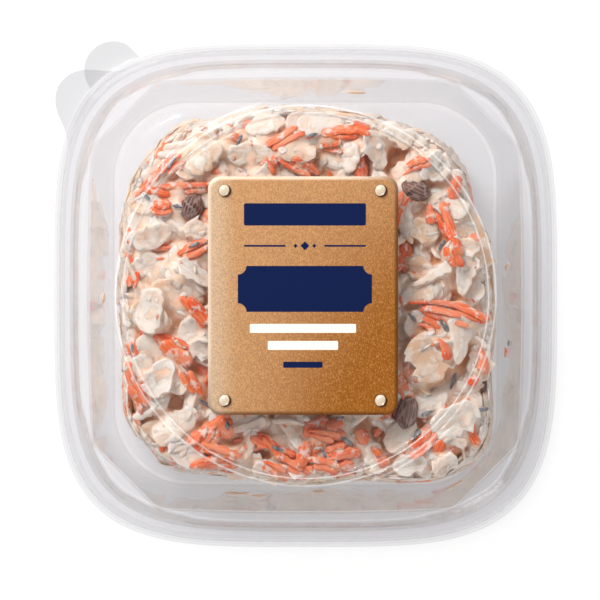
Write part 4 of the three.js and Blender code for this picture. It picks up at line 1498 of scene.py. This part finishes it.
# How far under the skin the shade of the hollows starts, and over what depth it grows.
TOP_SHADE, SIDE_SHADE = (0.5, 2.4), (0.4, 2.0)


def deepness(points):
    """How far a point lies below the heap's outer skin: 0 on it, 1 well inside."""
    x, y, z = np.asarray(points).T
    angle = np.arctan2(y, x)
    below_top = (top_bed.skin[top_bed.cells(x, y)] - z - TOP_SHADE[0]) / TOP_SHADE[1]
    u = np.mod(angle, 2 * math.pi) * SIDE_RADIUS
    within_side = side_line(angle, z) + side_bed.skin[side_bed.cells(u, z)] - np.hypot(x, y)
    below_side = (within_side - SIDE_SHADE[0]) / SIDE_SHADE[1]
    return np.clip(np.minimum(below_top, below_side), 0, 1)


# ---------------------------------------------------------------- dressing


def waves(spots, length, seed):
    """Soft lumps through space, about -1 to 1, a length in millimetres apart."""
    draw = np.random.default_rng(seed)
    total = np.zeros(len(spots))
    for _ in range(7):
        way = draw.normal(size=3)
        way *= 2 * math.pi / length * draw.uniform(0.7, 1.4) / np.linalg.norm(way)
        total += np.sin(spots @ way + draw.uniform(0, 6.3))
    return total / 2.6


DRESSING_DOWN = 0.1                     # how far the dressing lies below its first skin
STAIN_REACH, STAIN_FADE = 1.6, 0.4      # how far a carrot stains it, and how fast that fades


def make_dressing(name, skins, material, carrots, voxel, flow, swing):
    """One skin over core and shreds, smoothed so that it fills the hollows and bares the edges."""
    points, faces, start = [], [], 0
    for spots, shape in skins:
        points.append(np.asarray(spots, float))
        faces += [tuple(v + start for v in face) for face in shape]
        start += len(spots)
    joined = new_piece(name + "_base", np.concatenate(points), faces, material)
    remesh = joined.modifiers.new("skin", "REMESH")
    remesh.mode = "VOXEL"
    remesh.voxel_size = voxel * MM
    remesh.use_smooth_shade = True
    smooth = joined.modifiers.new("flow", "SMOOTH")
    smooth.factor, smooth.iterations = 0.5, flow
    dressing = plain_piece(name, joined)
    mesh = dressing.data
    spots, normals = np.empty(len(mesh.vertices) * 3), np.empty(len(mesh.vertices) * 3)
    mesh.vertices.foreach_get("co", spots)
    mesh.vertices.foreach_get("normal", normals)
    spots, normals = spots.reshape(-1, 3) / MM, normals.reshape(-1, 3)
    spots += normals * (swing * waves(spots, 7.0, 5) - DRESSING_DOWN)[:, None]
    mesh.vertices.foreach_set("co", (spots * MM).ravel())
    tree = BVHTree.FromPolygons((carrots[0] * MM).tolist(), carrots[1])
    near = np.zeros(len(spots))
    for i, spot in enumerate(spots * MM):
        distance = tree.find_nearest(spot, STAIN_REACH * MM)[3]
        if distance is not None:
            near[i] = math.exp(-distance / (STAIN_FADE * MM))
    give_values(mesh, carrot=near, deep=deepness(spots))
    mesh.update()
    return dressing


POOL_SIDES = 240
POOL_SHARES = np.linspace(0.97, 0.02, 58)
POOL_REACH = POOL_DROP = 1.1
SIDE_POOL = 1.1     # how far behind the outline the dressing fills the side


def pool_level():
    """Height of the dressing between the shreds on top, as a function of x and y."""
    x, y = np.meshgrid(top_bed.u, top_bed.v, indexing="ij")
    spots = np.stack([x.ravel(), y.ravel(), 0 * x.ravel()], -1)
    uneven = np.clip(waves(spots, 9.0, 11), -1, 1).reshape(x.shape)
    fuller = 0.35 * np.clip((y - x) / 60, -0.3, 1)
    level = blurred(top_bed.height, POOL_REACH) - POOL_DROP * (1 + 1.1 * uneven) + fuller
    return lambda x, y: level[top_bed.cells(x, y)]


def dress(on_top, material):
    """Dressing over the top of the heap, or round its side."""
    carrots = kinds["carrot"].skin(on_top)
    skins = [kinds["leaf"].skin(on_top), kinds["shred"].skin(on_top)]
    if on_top:
        foot = [(grown(heap_line, -3.0), 32.0)]
        core_part = core_skin((33.0,), foot, pool_level(), POOL_SIDES, POOL_SHARES)
        return make_dressing("dressing_on_top", [core_part, *skins], material, carrots,
                             voxel=0.67, flow=5, swing=0.14)
    foot = [(grown(heap_line, -4.0), 3.0)]
    core_part = core_skin(CORE_HEIGHTS, foot, sunk(5.0), inset=SIDE_POOL)
    return make_dressing("dressing_round_side", [core_part, *skins], material, carrots,
                         voxel=1.0, flow=3, swing=0.2)


# ---------------------------------------------------------------- crumbs on the dressing

UPWARD = 0.35       # crumbs lie only where the skin faces up at least this much
CRUMB_TIP = 0.3     # how far a crumb may be tipped, in radians


def sprinkle_tree():
    """Small crumbs strewn over the upper side of a skin, each turned and sized by chance."""
    bench = Shape("sprinkle", {
        "Density": "Float", "Least Distance": "Float", "Seed": "Int", "Least Size": "Vector",
        "Most Size": "Vector",
    })
    normal = bench.add("GeometryNodeInputNormal")
    up = bench.add("ShaderNodeSeparateXYZ", {0: normal}, out="Z")
    seed = bench.input("Seed")
    strewn = bench.add("GeometryNodeDistributePointsOnFaces", {
        "Mesh": bench.given, "Selection": up > UPWARD, "Seed": seed,
        "Distance Min": bench.input("Least Distance"), "Density Max": bench.input("Density"),
    }, distribute_method="POISSON")
    crumb = bench.add("GeometryNodeMeshIcoSphere", {"Radius": 0.5, "Subdivisions": 2})

    def by_chance(least, most, draw):
        return bench.add("FunctionNodeRandomValue", {0: least, 1: most, "Seed": draw},
                         data_type="FLOAT_VECTOR")

    spin = by_chance((-CRUMB_TIP, -CRUMB_TIP, 0.0), (CRUMB_TIP, CRUMB_TIP, 2 * math.pi), seed)
    turned = bench.add("FunctionNodeRotateRotation", {
        "Rotation": strewn.out("Rotation"),
        "Rotate By": bench.add("FunctionNodeEulerToRotation", {0: spin}),
    }, rotation_space="LOCAL")
    size = by_chance(bench.input("Least Size"), bench.input("Most Size"), seed + 1.0)
    return bench.close(bench.add("GeometryNodeInstanceOnPoints", {
        "Points": strewn, "Instance": crumb, "Rotation": turned, "Scale": size,
    }))


def make_crumbs(name, tree, skin, density, distance, seed, least, most, look, own):
    """Crumbs on a skin, with sizes in millimetres and the same own shade for all."""
    crumbs = grow_shape(name, tree, {
        "Density": density, "Least Distance": distance * MM, "Seed": seed,
        "Least Size": tuple(size * MM for size in least),
        "Most Size": tuple(size * MM for size in most), "Material": look,
    }, skin)
    give_values(crumbs.data, own=own, deep=0.0)
    return crumbs


# ---------------------------------------------------------------- raisins


def make_raisin(number, x, y, length, width, height, heading, material):
    """A wrinkled oval, with long folds that fork and fade towards its ends."""
    rows, columns = 40, 72
    draw = np.random.default_rng(100 + number)
    lon = np.linspace(0, 2 * math.pi, columns, endpoint=False)[None, :]
    lat = np.linspace(0, math.pi, rows)[:, None]
    phases = draw.uniform(0, 6.3, 8)
    drift = 0.5 * np.sin(2 * lat + phases[0]) + 0.35 * np.sin(4.3 * lat + phases[1])
    wave = 0.6 * np.sin(7 * lon + 2.2 * drift + phases[2])
    wave = wave + 0.4 * np.sin(11 * lon - 3 * drift + phases[3])
    ridge = 1 - np.abs(wave)
    cross = np.sin(5 * lat + 2 * np.sin(lon + phases[4]) + phases[5]) * np.sin(3 * lon + phases[6])
    r = 1.0 - (0.10 * ridge + 0.05 * cross) * np.sin(lat) ** 0.8
    px = -np.cos(lat) * (1 - 0.04 * cross) * length / 2
    py = np.sin(lat) * np.cos(lon) * r * width / 2
    pz = np.sin(lat) * np.sin(lon) * r * height / 2
    turn = math.radians(heading)
    level = float(heap_top(np.array(x), np.array(y))) + height * (0.5 - RAISIN_SUNK) - 1
    spots = np.stack([px * math.cos(turn) - py * math.sin(turn) + x,
                      px * math.sin(turn) + py * math.cos(turn) + y, pz + level], -1).reshape(-1, 3)
    points = np.concatenate([spots[:1], spots[columns:-columns], spots[-1:]])
    fold = np.concatenate([[0.5], ridge[1:-1].reshape(-1), [0.5]])
    return new_piece(f"raisin_{number}_wrinkled", points, skin_faces(rows - 2, columns), material,
                     fold=fold)


# ---------------------------------------------------------------- put together

tub = make_tub(clear_plastic("tub_clear", 0.95, 0.05, 0.1, 0.25))
lid = make_lid(clear_plastic("lid_clear", 0.96, 0.04, 0.05, 0.35))
label = make_label(label_gold())
studs = make_studs(stud_gold())

lay_salad()
leaf_look, carrot_look, dressing_look = cabbage_flesh(), carrot_flesh(), creamy_dressing()
salad = [make_core(dressing_look)]
# painted shade: the bare core is tinted as deep in the heap's hollows
give_values(salad[0].data, carrot=0.0, deep=0.7)
for kind, name, look in (
    ("leaf", "cabbage_leaves", leaf_look), ("shred", "cabbage_shreds", leaf_look),
    ("carrot", "carrot_sticks", carrot_look), ("herb", "herb_slivers", herb_flesh()),
):
    salad.append(kinds[kind].piece(name, look, deepness))
dressing_top, dressing_side = dress(True, dressing_look), dress(False, dressing_look)
sprinkle = sprinkle_tree()
carrot_crumbs = make_crumbs("carrot_crumbs", sprinkle, dressing_top.data, 16000.0, 6.0, 3,
                            (1.2, 0.7, 0.5), (3.4, 1.4, 0.9), carrot_look, 0.3)
leaf_crumbs = make_crumbs("cabbage_crumbs", sprinkle, dressing_top.data, 24000.0, 4.5, 8,
                          (1.4, 0.9, 0.5), (4.4, 2.0, 0.9), leaf_look, 0.4)
salad += [dressing_top, dressing_side, carrot_crumbs, leaf_crumbs]
raisin_look = raisin_skin()
raisins = [make_raisin(i + 1, *row, raisin_look) for i, row in enumerate(RAISINS)]

ROLES = (
    (tub, "tub", "tub_plastic"), (lid, "lid", "lid_plastic"), (label, "label", "label_gold"),
    (studs, "label", "label_gold"), *((piece, "slaw", "slaw") for piece in salad),
    *((raisin, f"raisin_{i + 1}", "raisin") for i, raisin in enumerate(raisins)),
)
for piece, node, slot in ROLES:
    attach(piece, "root")
    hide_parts(node)

# ---------------------------------------------------------------- table, light and camera

TABLE_HALF, TABLE_DOWN = 3000.0, 0.2
corners = [(x * TABLE_HALF, y * TABLE_HALF, -TABLE_DOWN)
           for x, y in ((-1, -1), (1, -1), (1, 1), (-1, 1))]
table = new_piece("table", corners, [(0, 1, 2, 3)], table_white())

# Name, place in metres, size, watts, and whether the plastic mirrors the lamp itself.
SOFTBOXES = (
    ("key_softbox", (-0.47, 0.73, 0.68), (0.58, 0.52), 1.7, True),
    ("key_bounce", (-0.47, 0.73, 0.68), (0.58, 0.52), 9.9, False),
    ("spark_strip", (-0.49, 0.76, 0.71), (0.55, 0.05), 2.6, True),
    ("far_strip", (0.50, -0.77, 0.66), (0.45, 0.25), 1.8, True),
)
for name, position, size, power, mirrored in SOFTBOXES:
    lamp = bpy.data.lights.new(name, "AREA")
    lamp.shape = "RECTANGLE"
    lamp.size, lamp.size_y = size
    lamp.energy = power
    holder = put(name, lamp)
    holder.location = position
    holder.rotation_mode = "QUATERNION"
    holder.rotation_quaternion = (-Vector(position)).to_track_quat("-Z", "Y")
    holder.visible_glossy = mirrored

scene = bpy.context.scene
scene.world = bpy.data.worlds.new("studio")
scene.world.use_nodes = True
scene.world.node_tree.nodes.clear()
sky = Bench(scene.world.node_tree)
way = sky.add("ShaderNodeTexCoord", out="Generated")
up = sky.add("ShaderNodeSeparateXYZ", {0: way}, out="Z")
glow = sky.blend(up.within(0.0, 0.75), (0.785, 0.78, 0.775, 1.0), (0.435, 0.43, 0.425, 1.0))
light = sky.add("ShaderNodeBackground", {"Color": glow})
sky.add("ShaderNodeOutputWorld", {"Surface": light})

camera = put("camera", bpy.data.cameras.new("camera"))
camera.data.sensor_width = 36.0
camera.data.lens = 194.4
camera.location = (0.0001, 0.0119, 0.95)
camera.rotation_euler = (-0.0145, 0.00185, 0.0)
camera.data.clip_end = 20.0
scene.camera = camera
scene.view_settings.view_transform = "Standard"
scene.cycles.transparent_max_bounces = 24
scene.cycles.max_bounces = 24
scene.cycles.glossy_bounces = 16
scene.cycles.transmission_bounces = 24
